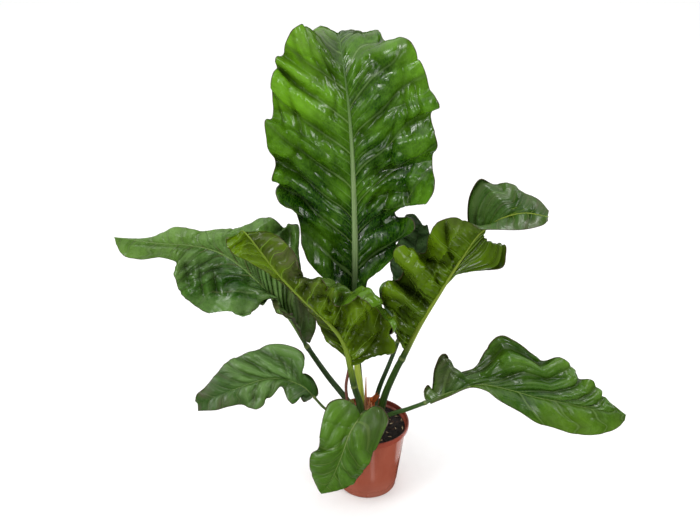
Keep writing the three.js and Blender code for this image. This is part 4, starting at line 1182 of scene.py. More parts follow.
def stalk_material(name, dark, joint, rib, tip, vein):
    material, t, place = blank_material(name)
    kind = add(t, "ShaderNodeAttribute", attribute_name="kind").outputs["Fac"]
    around = add(t, "ShaderNodeAttribute", attribute_name="around").outputs["Fac"]

    # the green of each stretch: stalk, joint, midrib, tip and vein
    ramp = add(t, "ShaderNodeValToRGB", {"Fac": add(
        t, "ShaderNodeMapRange", {"Value": kind, 1: 0.0, 2: 3.0}).outputs[0]})
    stops = ramp.color_ramp.elements
    stops[0].position, stops[0].color = 0.0, colour(dark)
    stops[1].position, stops[1].color = 1.0, colour(vein)
    for where, tone in ((0.321, dark), (0.325, joint), (0.330, joint), (0.336, dark),
                        (0.37, rib), (0.46, rib), (0.56, tip), (0.66, tip)):
        stops.new(where).color = colour(tone)

    # lengthwise streaks, 26 round the stalk, and its ridges, painted lighter on their crests and darker between
    # them as painted highlight and shade
    strip = add(t, "ShaderNodeCombineXYZ", {0: around, 1: kind}).outputs[0]
    strip = add(t, "ShaderNodeVectorMath", {0: strip, 1: (26, 5, 1)}, operation="MULTIPLY").outputs[0]
    streak = add(t, "ShaderNodeTexNoise", {"Vector": strip, "Scale": 1, "Detail": 3}).outputs[0]
    light = add(t, "ShaderNodeMapRange", {"Value": streak, 1: 0.35, 2: 0.7, 3: 0.72, 4: 1.3}).outputs[0]
    ridge_light_and_shade = add(t, "ShaderNodeMath", {0: around, 1: float(RIDGES)}, operation="MULTIPLY").outputs[0]
    ridge_light_and_shade = add(t, "ShaderNodeMath", {0: ridge_light_and_shade, 1: 0.5}, operation="PINGPONG").outputs[0]
    ridge_light_and_shade = add(t, "ShaderNodeMapRange", {"Value": ridge_light_and_shade, 1: 0.15, 2: 0.5, 3: 1.1, 4: 0.6}).outputs[0]
    light = add(t, "ShaderNodeMath", {0: light, 1: ridge_light_and_shade}, operation="MULTIPLY").outputs[0]
    base = add(t, "ShaderNodeVectorMath", {0: ramp.outputs[0], "Scale": light}, operation="SCALE").outputs[0]

    # specks 2.4 mm apart roughen the skin
    specks = add(t, "ShaderNodeTexNoise", {"Vector": place, "Scale": per(2.38), "Detail": 2}).outputs[0]
    grain = add(t, "ShaderNodeMath", {0: specks, 1: 0.3, 2: streak}, operation="MULTIPLY_ADD").outputs[0]
    bump = add(t, "ShaderNodeBump", {"Height": grain, "Distance": 0.0007, "Strength": 0.45}).outputs[0]
    skin = add(t, "ShaderNodeMapRange", {"Value": specks, 1: 0.3, 2: 0.7, 3: 0.32, 4: 0.48}).outputs[0]
    shader = add(t, "ShaderNodeBsdfPrincipled", {
        "Base Color": base, "Roughness": skin, "Normal": bump, "IOR": 1.45})
    add(t, "ShaderNodeOutputMaterial", {"Surface": shader.outputs[0]})
    return material


print(RIDGES, "ridges around a stalk")

# %% [markdown]
# ## All the leaves
# The tall upright leaf is the glossiest and deepest green, the one on the left is greyer, partly in its
# own greens and partly from the sheen painted on its crests, the low ones are fresher, and the two that
# arch towards the camera show their olive undersides. So each leaf has its own greens, in one table.

# %% Greens of the leaves
# upper: deep green, fresh green, vein, roughness, painted sheen on crests; under: deep green, fresh green,
# vein, roughness
GREENS = {
    "upright": dict(
        upper=("#0a3000", "#5a8c0e", "#7c9a5c", 0.2, 0.03),
        under=("#3c5a0e", "#55761a", "#6c8434"), rib="#7d9560", tip="#4a6c2c", stalk="#26420c"),
    "left": dict(
        upper=("#1e4a08", "#5c8030", "#6f8a50", 0.26, 0.24),
        under=("#3c441c", "#565c2c", "#66703a"), rib="#6a8842", stalk="#2a4412"),
    "front_left": dict(
        upper=("#284c04", "#486c08", "#6b8440", 0.22, 0.04),
        under=("#384c04", "#5c7c02", "#58700e", 0.17), rib="#6e861c", stalk="#2c480e"),
    "right": dict(
        upper=("#204806", "#426a12", "#667c46", 0.27, 0.12),
        under=("#304806", "#527004", "#567416", 0.16), rib="#74881e", stalk="#2c480e"),
    # painted light: the back leaf's greens are lighter than its tissue, to make up for the shade of the leaves
    # in front of it, and its high share paints grey sheen on its crests
    "back": dict(
        upper=("#34582a", "#507040", "#566c48", 0.28, 0.25),
        under=("#3c5222", "#586c36", "#5a6838"), rib="#46592e", stalk="#24400f"),
    "low_right": dict(
        upper=("#22480a", "#4e700e", "#6c8a48", 0.26, 0.06),
        under=("#434f1a", "#5c7020", "#6c7c38"), rib="#627a34", stalk="#32501a"),
    "low_left": dict(
        upper=("#244e08", "#40641c", "#5c7a34", 0.36, 0.2),
        under=("#3e4628", "#525c34", "#667044"), rib="#6a8240", stalk="#4a5e2a"),
    "low_front": dict(
        upper=("#284e02", "#466e06", "#688432", 0.34, 0.04),
        under=("#405814", "#546e1e", "#6a7a3c"), rib="#6a7e3e", stalk="#3c501c"),
}
JOINT_GREEN = "#66763a"
print("greens for", len(GREENS), "leaves")

# %% [markdown]
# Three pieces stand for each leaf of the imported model: its blade, its stalk with the midrib, and its
# side veins. Every leaf has a seed of its own, so that no two are quilted alike.

# %% Grow the leaves
triangles = 0
for number, (name, leaf) in enumerate(LEAVES.items()):
    path, midrib = leaf_lines(leaf)
    grid = blade_grid(leaf, midrib, 100 + 20 * number)
    tones = GREENS[name]
    faces = [
        leaf_upper(f"living_leaf_upper_{name}", *tones["upper"]),
        leaf_under(f"living_leaf_under_{name}", *tones["under"]),
        RIM,
    ]
    blade = blade_mesh(f"{name}_blade", grid, faces)
    skin = stalk_material(f"living_stalk_{name}", tones["stalk"], JOINT_GREEN, tones["rib"],
                          tones.get("tip", tones["rib"]), tones["under"][1])
    run = stalk_path(leaf, path, 1 - midrib.length / path.length)
    stalk = rods(f"{name}_stalk", [run], skin, sides=48, ridges=float(RIDGES), depth=0.04)
    veins = rods(f"{name}_veins", vein_paths(leaf, grid), skin, sides=7)
    for made in (blade, stalk, veins):
        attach(made, "root")
        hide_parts(f"leaf_{name}")
        made.data.calc_loop_triangles()
        triangles += len(made.data.loop_triangles)
print("leaves:", triangles, "triangles")

# %% [markdown]
# ## The pot
# A nursery pot is injection-moulded polypropylene, coloured through with brown-red pigment. Its wall
# is 2 mm thick and tapers, so that pots nest, and an outward lip with a rounded edge stiffens it. It
# is turned from one profile, as on a lathe, and a Boolean modifier cuts the drain holes out of its
# floor. A low ledge runs round the foot.

# %% Turning
def skin_of_rings(rings, segments):
    """Faces that close a stack of rings between a first and a last point on the axis, from below."""
    last = rings * segments + 1
    faces = []
    for j in range(segments):
        k = (j + 1) % segments
        faces.append((0, 1 + k, 1 + j))
        faces.append((last, last - segments + j, last - segments + k))
        for i in range(rings - 1):
            a, b = 1 + i * segments, 1 + (i + 1) * segments
            faces.append((a + j, a + k, b + k, b + j))
    return faces


def turned(name, profile, segments=160):
    """A closed solid of revolution from a profile of [radius, height] in mm, from axis to axis."""
    profile = np.array(profile, float) * MM
    angle = np.linspace(0, 2 * np.pi, segments, endpoint=False)
    places = [(0, 0, profile[0][1])]
    for radius, height in profile[1:-1]:
        places.extend(np.stack([radius * np.cos(angle), radius * np.sin(angle), 0 * angle + height], 1))
    places.append((0, 0, profile[-1][1]))
    return piece(name, places, skin_of_rings(len(profile) - 2, segments))


def rounded(corners, steps=5):
    """A profile with its corners rounded: each corner is (radius, height, rounding) in mm."""
    out = []
    for i, (r, z, size) in enumerate(corners):
        here = np.array([r, z], float)
        if size == 0 or i in (0, len(corners) - 1):
            out.append(here)
            continue
        before, after = (np.array(corners[i + k][:2], float) - here for k in (-1, 1))
        a = here + before / np.linalg.norm(before) * size
        b = here + after / np.linalg.norm(after) * size
        for s in np.linspace(0, 1, steps):
            out.append((1 - s) ** 2 * a + 2 * s * (1 - s) * here + s**2 * b)
    return out


print("a rounded corner has", len(rounded([(0, 0, 0), (9, 0, 2), (9, 9, 0)])) - 2, "points")

# %% [markdown]
# The profile runs from the middle of the underside out to the foot, up the outside, over the lip, and
# down the inside to the middle of the floor.

# %% Pot shape
HEIGHT_OF_POT, FLOOR = 173, 3  # mm
BASE, SHOULDER, RIM_RADIUS = 66, 87.5, 95  # mm: radii of the foot, the wall below the lip, and the lip
LEDGE = 17  # mm: height of the ledge round the foot
LIP = HEIGHT_OF_POT - 12  # mm: height of the lip's lower edge
HOLES, HOLE_RADIUS, HOLE_CIRCLE = 6, 5, 50  # count, and mm

pot = turned(
    "nursery_pot",
    rounded([
        (0, 1.2, 0), (BASE - 12, 1.2, 1.0), (BASE - 9, 0, 1.0), (BASE, 0, 3.0),
        (BASE + 2.4, LEDGE, 1.2), (BASE + 3.4, LEDGE + 1, 1.2),
        (SHOULDER, LIP - 3, 1.5), (RIM_RADIUS - 1, LIP - 1.2, 1.6), (RIM_RADIUS, HEIGHT_OF_POT - 2, 3.4),
        (RIM_RADIUS - 2.6, HEIGHT_OF_POT + 0.2, 1.8), (RIM_RADIUS - 4.6, HEIGHT_OF_POT - 2.4, 1.8),
        (RIM_RADIUS - 5.2, LIP + 1.5, 1.5), (SHOULDER - 2, LIP - 2, 1.5),
        (BASE - 1, 2 * FLOOR, 3.0), (BASE - 6, FLOOR, 2.0), (0, FLOOR, 0),
    ]),
)
# a drill longer than the floor is thick, copied to each hole
bit = turned("drain_bit", [(0, -2), (HOLE_RADIUS, -2), (HOLE_RADIUS, 8), (0, 8)], 24)
corners = [tuple(v.co) for v in bit.data.vertices]
sides = [tuple(p.vertices) for p in bit.data.polygons]
places, faces = [], []
for k in range(HOLES):
    a = 2 * math.pi * (k + 0.5) / HOLES
    faces.extend([tuple(len(places) + i for i in face) for face in sides])
    places.extend((x + HOLE_CIRCLE * MM * math.cos(a), y + HOLE_CIRCLE * MM * math.sin(a), z)
                  for x, y, z in corners)
bpy.data.objects.remove(bit)
drill = piece("drills", places, faces)
cut = pot.modifiers.new("drain holes", "BOOLEAN")
cut.operation, cut.object, cut.solver = "DIFFERENCE", drill, "EXACT"
settle(pot)
bpy.data.objects.remove(drill)
print("pot:", len(pot.data.polygons), "faces,", [round(x, 4) for x in pot.dimensions])

# %% [markdown]
# ## Moulded polypropylene
# The plastic is slightly translucent, so it has a soft satin shine (IOR 1.49). The mould leaves faint
# rings from its turning, nesting leaves upright scuffs, and watering leaves a pale haze of lime
# towards the foot. The lip is a touch darker than the wall. The rings are drawn 3 mm apart, coarser
# than they are, so that they show, and the scuffs are about 1.5 mm wide.

# %% Pot material
RING_GAP = 3  # mm
WAVES_PER_UNIT = 20 / (2 * math.pi)  # a wave texture of scale 1 has this many bands in a metre


def pot_material():
    material, t, place = blank_material("moulded_polypropylene_terracotta")
    axis = add(t, "ShaderNodeSeparateXYZ", {0: place}).outputs
    around = add(t, "ShaderNodeMath", {0: axis[1], 1: axis[0]}, operation="ARCTAN2").outputs[0]

    # the pigment in blotches of 45 mm, and a darker lip
    blotch = add(t, "ShaderNodeTexNoise", {"Vector": place, "Scale": per(45.5), "Detail": 4}).outputs[0]
    tone = add(t, "ShaderNodeMix", {0: blotch, 6: colour("#8a4230"), 7: colour("#a35844")},
               data_type="RGBA").outputs[2]
    high = add(t, "ShaderNodeMapRange", {"Value": axis[2], 1: 0.157, 2: 0.163}).outputs[0]
    tone = add(t, "ShaderNodeMix", {0: high, 6: tone, 7: colour("#8c4030")}, data_type="RGBA").outputs[2]

    # lime below 50 mm, and scuffs that run up the wall
    strip = add(t, "ShaderNodeCombineXYZ", {0: around, 1: axis[2]}).outputs[0]
    strip = add(t, "ShaderNodeVectorMath", {0: strip, 1: (60, 18, 1)}, operation="MULTIPLY").outputs[0]
    scuff = add(t, "ShaderNodeTexNoise", {"Vector": strip, "Scale": 1, "Detail": 3}).outputs[0]
    lime = add(t, "ShaderNodeMapRange", {"Value": axis[2], 1: 0, 2: 0.05, 3: 0.25, 4: 0}).outputs[0]
    lime = add(t, "ShaderNodeMath", {0: lime, 1: blotch}, operation="MULTIPLY").outputs[0]
    worn = add(t, "ShaderNodeMapRange", {"Value": scuff, 1: 0.62, 2: 0.75, 3: 0, 4: 0.08}).outputs[0]
    pale = add(t, "ShaderNodeMath", {0: lime, 1: worn}, operation="MAXIMUM").outputs[0]
    tone = add(t, "ShaderNodeMix", {0: pale, 6: tone, 7: colour("#c79a8a")}, data_type="RGBA").outputs[2]

    # the mould's rings, and a satin that lime and scuffs make dull
    rings = add(t, "ShaderNodeTexWave", {"Vector": place, "Scale": per(RING_GAP) / WAVES_PER_UNIT,
                                         "Distortion": 0.4}, bands_direction="Z").outputs["Fac"]
    height = add(t, "ShaderNodeMath", {0: rings, 1: 0.25, 2: scuff}, operation="MULTIPLY_ADD").outputs[0]
    bump = add(t, "ShaderNodeBump", {"Height": height, "Distance": 0.0002, "Strength": 0.35}).outputs[0]
    satin = add(t, "ShaderNodeMapRange", {"Value": pale, 1: 0, 2: 0.3, 3: 0.2, 4: 0.42}).outputs[0]
    shader = add(t, "ShaderNodeBsdfPrincipled", {
        "Base Color": tone, "Roughness": satin, "Normal": bump, "IOR": 1.49})
    add(t, "ShaderNodeOutputMaterial", {"Surface": shader.outputs[0]})
    return material


pot.data.materials.clear()
pot.data.materials.append(pot_material())
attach(pot, "root")
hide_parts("pot")
print("pot dressed")

# %% [markdown]
# ## The soil
# Potting soil is peat with bark chips and a few pale splinters. The bed fills the pot from its floor
# up, and its lumpy top is a little higher round the stem. It is made of rings, as the pot is, with a
# random height for each point of the top.

# %% Soil bed
SOIL_TOP, SOIL_FOOT = 158, 3.4  # mm above the floor: top of the bed, and its underside on the pot's floor
SOIL_RIM = 85.0  # mm: radius of the top
BED_SIDES = ((SOIL_TOP - 8, 84.4), (8, 64.0), (SOIL_FOOT, 58.0))  # (height, radius) down the pot's wall
BED_TURNS, BED_RINGS = 120, 30


def soil_bed():
    angle = np.linspace(0, 2 * np.pi, BED_TURNS, endpoint=False)
    radius = np.linspace(0, 1, BED_RINGS + 1)[1:, None] * SOIL_RIM
    x, y = radius * np.cos(angle), radius * np.sin(angle)
    lumps = 5 * (field(x / 17 + 9, y / 17 + 9, 5) - 0.5) + 2.6 * (field(x / 6 + 9, y / 6 + 9, 6) - 0.5)
    heap = 3.0 * np.exp(-((radius / 34) ** 2)) + 0 * x
    z = SOIL_TOP + lumps * smooth((SOIL_RIM - radius) / 9 + 0.25) + heap
    places = [(0, 0, SOIL_TOP + 3), *np.stack([x, y, z], -1).reshape(-1, 3)]
    for height, size in BED_SIDES:
        places.extend(np.stack([size * np.cos(angle), size * np.sin(angle), 0 * angle + height], 1))
    places.append((0, 0, SOIL_FOOT))
    faces = skin_of_rings(BED_RINGS + len(BED_SIDES), BED_TURNS)
    # these rings run downwards, so each face is turned round
    return piece("soil_bed", np.array(places) * MM, [(face[0], *face[:0:-1]) for face in faces])


bed = soil_bed()
print("soil bed:", len(bed.data.polygons), "faces")

# %% [markdown]
# ## Crumbs, chips and splinters
# Crumbs and chips repeat by the hundred, so a geometry tree scatters them: it picks seeded random
# points on the top of the bed, sets a crumb of a few faces on each, and gives each its own turn and
# size. Stretched, the same crumb is a chip of bark or a splinter of wood.

# %% Tree that scatters crumbs
BED_EDGE = 0.14  # metres: only what is higher than this, and faces up, is the top of the bed


def scatter_tree():
    inputs = {"Bed": "Geometry", "Spacing": "Float", "Density": "Float", "Smallest": "Float",
              "Largest": "Float", "Stretch": "Vector", "Clear Radius": "Float", "Seed": "Int",
              "Material": "Material"}
    tree, given = blank_tree("scatter_on_bed", inputs, "Bits")

    # the top of the bed, away from the stem
    up = add(tree, "ShaderNodeSeparateXYZ", {0: add(tree, "GeometryNodeInputNormal").outputs[0]}).outputs[2]
    place = add(tree, "GeometryNodeInputPosition").outputs[0]
    parts = add(tree, "ShaderNodeSeparateXYZ", {0: place}).outputs
    level = add(tree, "ShaderNodeCombineXYZ", {0: parts[0], 1: parts[1]}).outputs[0]
    radius = add(tree, "ShaderNodeVectorMath", {0: level}, operation="LENGTH").outputs["Value"]
    top = None
    for value, least in ((up, 0.5), (parts[2], BED_EDGE), (radius, given["Clear Radius"])):
        enough = add(tree, "FunctionNodeCompare", {0: value, 1: least}, operation="GREATER_THAN").outputs[0]
        top = enough if top is None else add(
            tree, "FunctionNodeBooleanMath", {0: top, 1: enough}, operation="AND").outputs[0]
    points = add(tree, "GeometryNodeDistributePointsOnFaces",
                 {"Mesh": given["Bed"], "Selection": top, "Distance Min": given["Spacing"],
                  "Density Max": given["Density"], "Seed": given["Seed"]}, distribute_method="POISSON")

    # one lumpy crumb
    crumb = add(tree, "GeometryNodeMeshIcoSphere", {"Radius": 1, "Subdivisions": 2}).outputs[0]
    lump = add(tree, "ShaderNodeTexNoise", {"Scale": 1.3, "Detail": 1}).outputs["Color"]
    lump = add(tree, "ShaderNodeVectorMath", {0: lump, 1: (0.5, 0.5, 0.5)}, operation="SUBTRACT").outputs[0]
    lump = add(tree, "ShaderNodeVectorMath", {0: lump, "Scale": 1.5}, operation="SCALE").outputs[0]
    crumb = add(tree, "GeometryNodeSetPosition", {"Geometry": crumb, "Offset": lump}).outputs[0]

    # a turn and a size for each
    turn = add(tree, "FunctionNodeRandomValue", {0: (-0.5, -0.5, 0.0), 1: (0.5, 0.5, 6.28)},
               data_type="FLOAT_VECTOR").outputs[0]
    size = add(tree, "FunctionNodeRandomValue", {2: given["Smallest"], 3: given["Largest"]},
               data_type="FLOAT").outputs[1]
    size = add(tree, "ShaderNodeVectorMath", {0: given["Stretch"], "Scale": size}, operation="SCALE").outputs[0]
    bits = add(tree, "GeometryNodeInstanceOnPoints", {"Points": points.outputs["Points"], "Instance": crumb,
                                                      "Rotation": turn, "Scale": size}).outputs[0]
    bits = add(tree, "GeometryNodeRealizeInstances", {"Geometry": bits}).outputs[0]
    bits = add(tree, "GeometryNodeSetMaterial", {"Geometry": bits, "Material": given["Material"]}).outputs[0]
    add(tree, "NodeGroupOutput", {"Bits": bits})
    return tree


SCATTER = scatter_tree()
print("crumbs are scattered by", len(SCATTER.nodes), "nodes")

# %% [markdown]
# ## Peat, bark and splinters
# Damp peat is nearly black-brown and quite matte, with small glints of water. Bark is a warmer brown,
# and the splinters are the pale cream of dry wood. One function serves for all three: coarse noise
# for the clods, and noise of a fifth of that size for the fibres.

# %% Soil materials
def earth_material(name, dark, light, clod_size, rough):
    material, t, place = blank_material(name)
    clods = add(t, "ShaderNodeTexNoise", {"Vector": place, "Scale": per(clod_size), "Detail": 6,
                                          "Roughness": 0.7}).outputs[0]
    fibres = add(t, "ShaderNodeTexNoise", {"Vector": place, "Scale": per(clod_size / 5),
                                           "Detail": 4.0}).outputs[0]
    share = add(t, "ShaderNodeMapRange", {"Value": clods, 1: 0.35, 2: 0.7}).outputs[0]
    tone = add(t, "ShaderNodeMix", {0: share, 6: colour(dark), 7: colour(light)}, data_type="RGBA").outputs[2]
    height = add(t, "ShaderNodeMath", {0: fibres, 1: 0.5, 2: clods}, operation="MULTIPLY_ADD").outputs[0]
    bump = add(t, "ShaderNodeBump", {"Height": height, "Distance": 0.002, "Strength": 0.8}).outputs[0]
    dry = add(t, "ShaderNodeMapRange", {"Value": fibres, 1: 0.35, 2: 0.65, 3: rough - 0.2, 4: rough}).outputs[0]
    shader = add(t, "ShaderNodeBsdfPrincipled", {
        "Base Color": tone, "Roughness": dry, "Normal": bump, "IOR": 1.4})
    add(t, "ShaderNodeOutputMaterial", {"Surface": shader.outputs[0]})
    return material


PEAT = earth_material("damp_peat", "#0e0a08", "#2b2018", 6.25, 0.9)
BARK = earth_material("composted_bark", "#24150d", "#4c301e", 4.55, 0.85)
SPLINTER = earth_material("dry_wood_splinter", "#8a6f4c", "#d8c49c", 3.85, 0.8)
print("soil materials:", PEAT.name, BARK.name, SPLINTER.name)

# %% Scatter them on the bed
CLEAR_OF_STEM = 12  # mm: radius round the stem that stays free
SCATTERED = (  # name, material, spacing in mm, points in a square metre, sizes in mm, stretch, seed
    ("peat_crumbs", PEAT, 3.2, 60000.0, (0.9, 2.6), (1.0, 0.85, 0.7), 3),
    ("bark_chips", BARK, 9.0, 6000.0, (2.4, 5.2), (1.0, 0.55, 0.3), 7),
    ("wood_splinters", SPLINTER, 12.0, 3600.0, (3.0, 8.0), (1.0, 0.26, 0.16), 12),
)
bed.data.materials.append(PEAT)
pieces = [bed]
for name, material, spacing, density, (small, large), stretch, seed in SCATTERED:
    bits = piece(name, [v.co for v in bed.data.vertices], [tuple(p.vertices) for p in bed.data.polygons])
    run_tree(
        bits, SCATTER, Spacing=spacing * MM, Density=density, Smallest=small * MM, Largest=large * MM,
        Stretch=stretch, Clear_Radius=CLEAR_OF_STEM * MM, Seed=seed, Material=material,
    )
    pieces.append(bits)
for made in pieces:
    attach(made, "root")
    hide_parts("soil")
    print(made.name, len(made.data.polygons), "faces")

# %% [markdown]
# ## Dry sheaths on the stem
# Every new leaf comes out of a papery sheath that then dries on the stem. One long pointed sheath
# stands up like a spear, others are torn, curled or frayed, or wrap the stem. A sheath is a strip bent
# like a gutter, so it is a small grid along a line, with fine lengthwise folds and a ragged end, and
# Solidify gives it its thickness.

# %% Sheath strips
STRIP_THICKNESS = 0.7  # mm, drawn thicker than paper so that the edge shows
STRIP_ROWS, STRIP_COLUMNS = 44, 16


def strip(name, line, widths, bend, facing, ragged, seed):
    """A gutter-shaped strip along a line: half widths in mm from foot to end, bend in radians."""
    teeth = np.random.default_rng(seed).random(STRIP_COLUMNS + 1)[None, :] * ragged
    share = np.linspace(0, 1, STRIP_ROWS + 1)[:, None]
    reach = (share * (1 - teeth * smooth((share - 0.5) / 0.5))).ravel()
    s = np.tile(np.linspace(-1, 1, STRIP_COLUMNS + 1), STRIP_ROWS + 1)
    centre, along = line.at(reach), line.direction(reach)
    side = np.cross(along, np.array(facing, float))
    side /= np.linalg.norm(side, axis=1, keepdims=True)
    out = np.cross(side, along)
    width = keyed(widths, reach) * MM
    folds = 0.25 * np.cos(9 * s) + 0.7 * (field(s * 3 + 5, reach * 6, seed) - 0.5)
    places = (
        centre
        + side * (width * np.sin(bend * s) / bend)[:, None]
        + out * (width * (np.cos(bend * s) - 1) / bend + folds * MM)[:, None]
    )
    made = piece(name, places, grid_faces(STRIP_ROWS + 1, STRIP_COLUMNS + 1).tolist())
    note(made.data, "across", s)
    note(made.data, "share", reach)
    thick = made.modifiers.new("thickness", "SOLIDIFY")
    thick.thickness, thick.offset = STRIP_THICKNESS * MM, 0
    return settle(made)


print("a strip has", STRIP_ROWS * STRIP_COLUMNS, "quads on each side")

# %% [markdown]
# ## Dry plant skin
# A dry sheath is papery: straight fibres about 0.4 mm apart, drawn 1 mm apart here so that they show,
# from rust-orange to the colour of paper, matt, and darker in blotches. The same skin in greener or
# browner tones dresses a sheath that is still fading, and the stem itself.

# %% Sheath materials
def sheath_material(name, dark, light, streak_share=0.5):
    material, t, place = blank_material(name)
    across = add(t, "ShaderNodeAttribute", attribute_name="across").outputs["Fac"]
    share = add(t, "ShaderNodeAttribute", attribute_name="share").outputs["Fac"]
    fibre = add(t, "ShaderNodeCombineXYZ", {0: across, 1: share}).outputs[0]
    fibre = add(t, "ShaderNodeVectorMath", {0: fibre, 1: (9, 2.5, 1)}, operation="MULTIPLY").outputs[0]
    fibre = add(t, "ShaderNodeTexNoise", {"Vector": fibre, "Scale": 1, "Detail": 4}).outputs[0]
    blotch = add(t, "ShaderNodeTexNoise", {"Vector": place, "Scale": per(7.7), "Detail": 3}).outputs[0]
    mixed = add(t, "ShaderNodeMath", {0: blotch, 1: 0.6, 2: fibre}, operation="MULTIPLY_ADD").outputs[0]
    dark_end = 0.9 - streak_share * 0.4
    level = add(t, "ShaderNodeMapRange", {"Value": mixed, 1: dark_end, 2: dark_end + 0.35}).outputs[0]
    tone = add(t, "ShaderNodeMix", {0: level, 6: colour(dark), 7: colour(light)}, data_type="RGBA").outputs[2]
    bump = add(t, "ShaderNodeBump", {"Height": fibre, "Distance": 0.0012, "Strength": 0.8}).outputs[0]
    shader = add(t, "ShaderNodeBsdfPrincipled", {
        "Base Color": tone, "Roughness": 0.6, "Normal": bump, "IOR": 1.4})
    add(t, "ShaderNodeOutputMaterial", {"Surface": shader.outputs[0]})
    return material


ORANGE = sheath_material("dry_sheath_orange", "#843610", "#dc7020")
SALMON = sheath_material("dry_sheath_salmon", "#b0602c", "#dc9c6c")
PAPER = sheath_material("dry_sheath_paper", "#a4562c", "#e0ac80", 0.7)
FADED = sheath_material("fading_green_sheath", "#5c5a20", "#a8a048")
print("sheath materials made")

# %% [markdown]
# Each strip starts at a foot on the stem, in mm, and goes on through points of the photograph. The
# three wraps stand round the stem at an angle each, and splay out at the top.

# %% Place the sheaths
SHEATHS = (  # name, material, foot, points, half widths, bend, facing, raggedness, seed
    ("spear_sheath", SALMON, (1, -5, 150), [[366, 405, -12], [366, 377, -10]],
     [4.2, 4.0, 3.0, 0.6], 1.25, (0.1, -1, 0.3), 0.0, 31),
    ("torn_sheath", ORANGE, (8, 6, 156), [[371, 403, 4], [374, 399, 4], [379.5, 393, 3]],
     [6.0, 9.0, 8.5, 5.0], 0.8, (-0.3, -1, 0.5), 0.12, 32),
    ("curled_sheath", FADED, (-10, -6, 156), [[353, 407, -16], [352, 402, -18], [350, 399, -20]],
     [5.0, 7.0, 7.5, 4.0], 1.0, (-0.2, -1, 0.3), 0.1, 33),
    ("frayed_sheath_1", PAPER, (6, -8, 156), [[366, 405, -16], [365.5, 400, -17], [366.5, 395, -16]],
     [4.0, 4.5, 4.0, 2.0], 0.6, (0, -1, 0.2), 0.5, 34),
    ("frayed_sheath_2", PAPER, (9, -8, 156), [[369, 406, -15], [368.5, 401, -15], [368, 396, -14]],
     [4.0, 4.5, 4.0, 2.5], 0.6, (0.2, -1, 0.2), 0.5, 35),
    ("frayed_sheath_3", PAPER, (12, -8, 156), [[371.5, 408, -14], [371, 404, -14], [369.5, 399, -13]],
     [3.0, 3.5, 3.0, 1.5], 0.6, (0.4, -1, 0.2), 0.5, 36),
)
WRAP_ANGLES = (-1.15, 2.5, 0.7)  # radians
sheaths = []
for name, material, foot, points, *shape in SHEATHS:
    made = strip(name, Line(np.vstack([np.array([foot]) * MM, seen(points)])), *shape)
    made.data.materials.append(material)
    sheaths.append(made)
for k, a in enumerate(WRAP_ANGLES):
    rise = [(11, 144), (12, 163), (13 + k, 166 + 5 * k)]  # radius and height, in mm
    line = Line(np.array([[r * math.cos(a), r * math.sin(a), z] for r, z in rise]) * MM)
    made = strip(f"stem_wrap_{k + 1}", line, [8, 8, 6.5, 4], 0.9, (math.cos(a), math.sin(a), 0.1), 0.45, 40 + k)
    made.data.materials.append(PAPER)
    sheaths.append(made)
print("sheaths:", [made.name for made in sheaths])

# %% [markdown]
# ## Fibres and the stem
# The loose fibres are thin rods that bow outwards. The short stem itself is hidden under the sheaths:
# a stub with the ring scars that fallen leaves leave behind, turned like the pot.

# %% Fibres and stem stub
FIBRES = 26
STEM_RADIUS, STEM_FOOT, SCAR_GAP, SCARS = 10.6, 128, 4, 13  # mm, mm, mm, count
fibre_paths = []
random = np.random.default_rng(77)
for k in range(FIBRES):
    a = random.uniform(-2.2, 0.6)
    r = random.uniform(9, 13)
    tip = np.array([r * math.cos(a) + random.uniform(-7, 7), r * math.sin(a) + random.uniform(-7, 3),
                    random.uniform(162, 190)])
    foot = np.array([r * math.cos(a), r * math.sin(a), 155])
    bow = (foot + tip) / 2 + np.append(random.uniform(-4, 4, 2), 3)
    line = Line(np.array([foot, bow, tip]) * MM)
    fibre_paths.append((line.at(np.linspace(0, 1, 12)), np.linspace(0.6, 0.25, 12) * MM, 0.0))
fibres = rods("sheath_fibres", fibre_paths, PAPER, sides=5)

scars = [(0, STEM_FOOT)]
for k in range(SCARS):
    slimming = 0.25 * max(k - 8, 0) ** 1.6
    scars.append((STEM_RADIUS - slimming + (0.45 if k % 2 else -0.25), STEM_FOOT + SCAR_GAP * k))
stub = turned("stem_stub", scars + [(0, scars[-1][1] + 1)], 40)
stub.data.materials.append(sheath_material("stem_skin", "#4a3320", "#7a5c38"))
for made in (*sheaths, fibres, stub):
    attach(made, "root")
    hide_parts("stem")
print("stem:", len(sheaths), "strips and", len(fibre_paths), "fibres")

# %% [markdown]
# ## The young leaf and the old stalk
# The newest leaf is still rolled up: a pale yellow-green spike in a purple-brown sheath. It is a rod
# whose profile is a spiral in life, so it gets three lengthwise seams. Beside it stands the dry
# red-brown stalk of an old leaf, wrinkled and cut off square.

# %% Young leaf's material
SHEATH_END = (0.212, 0.228)  # metres above the floor: the sheath fades into the leaf between these


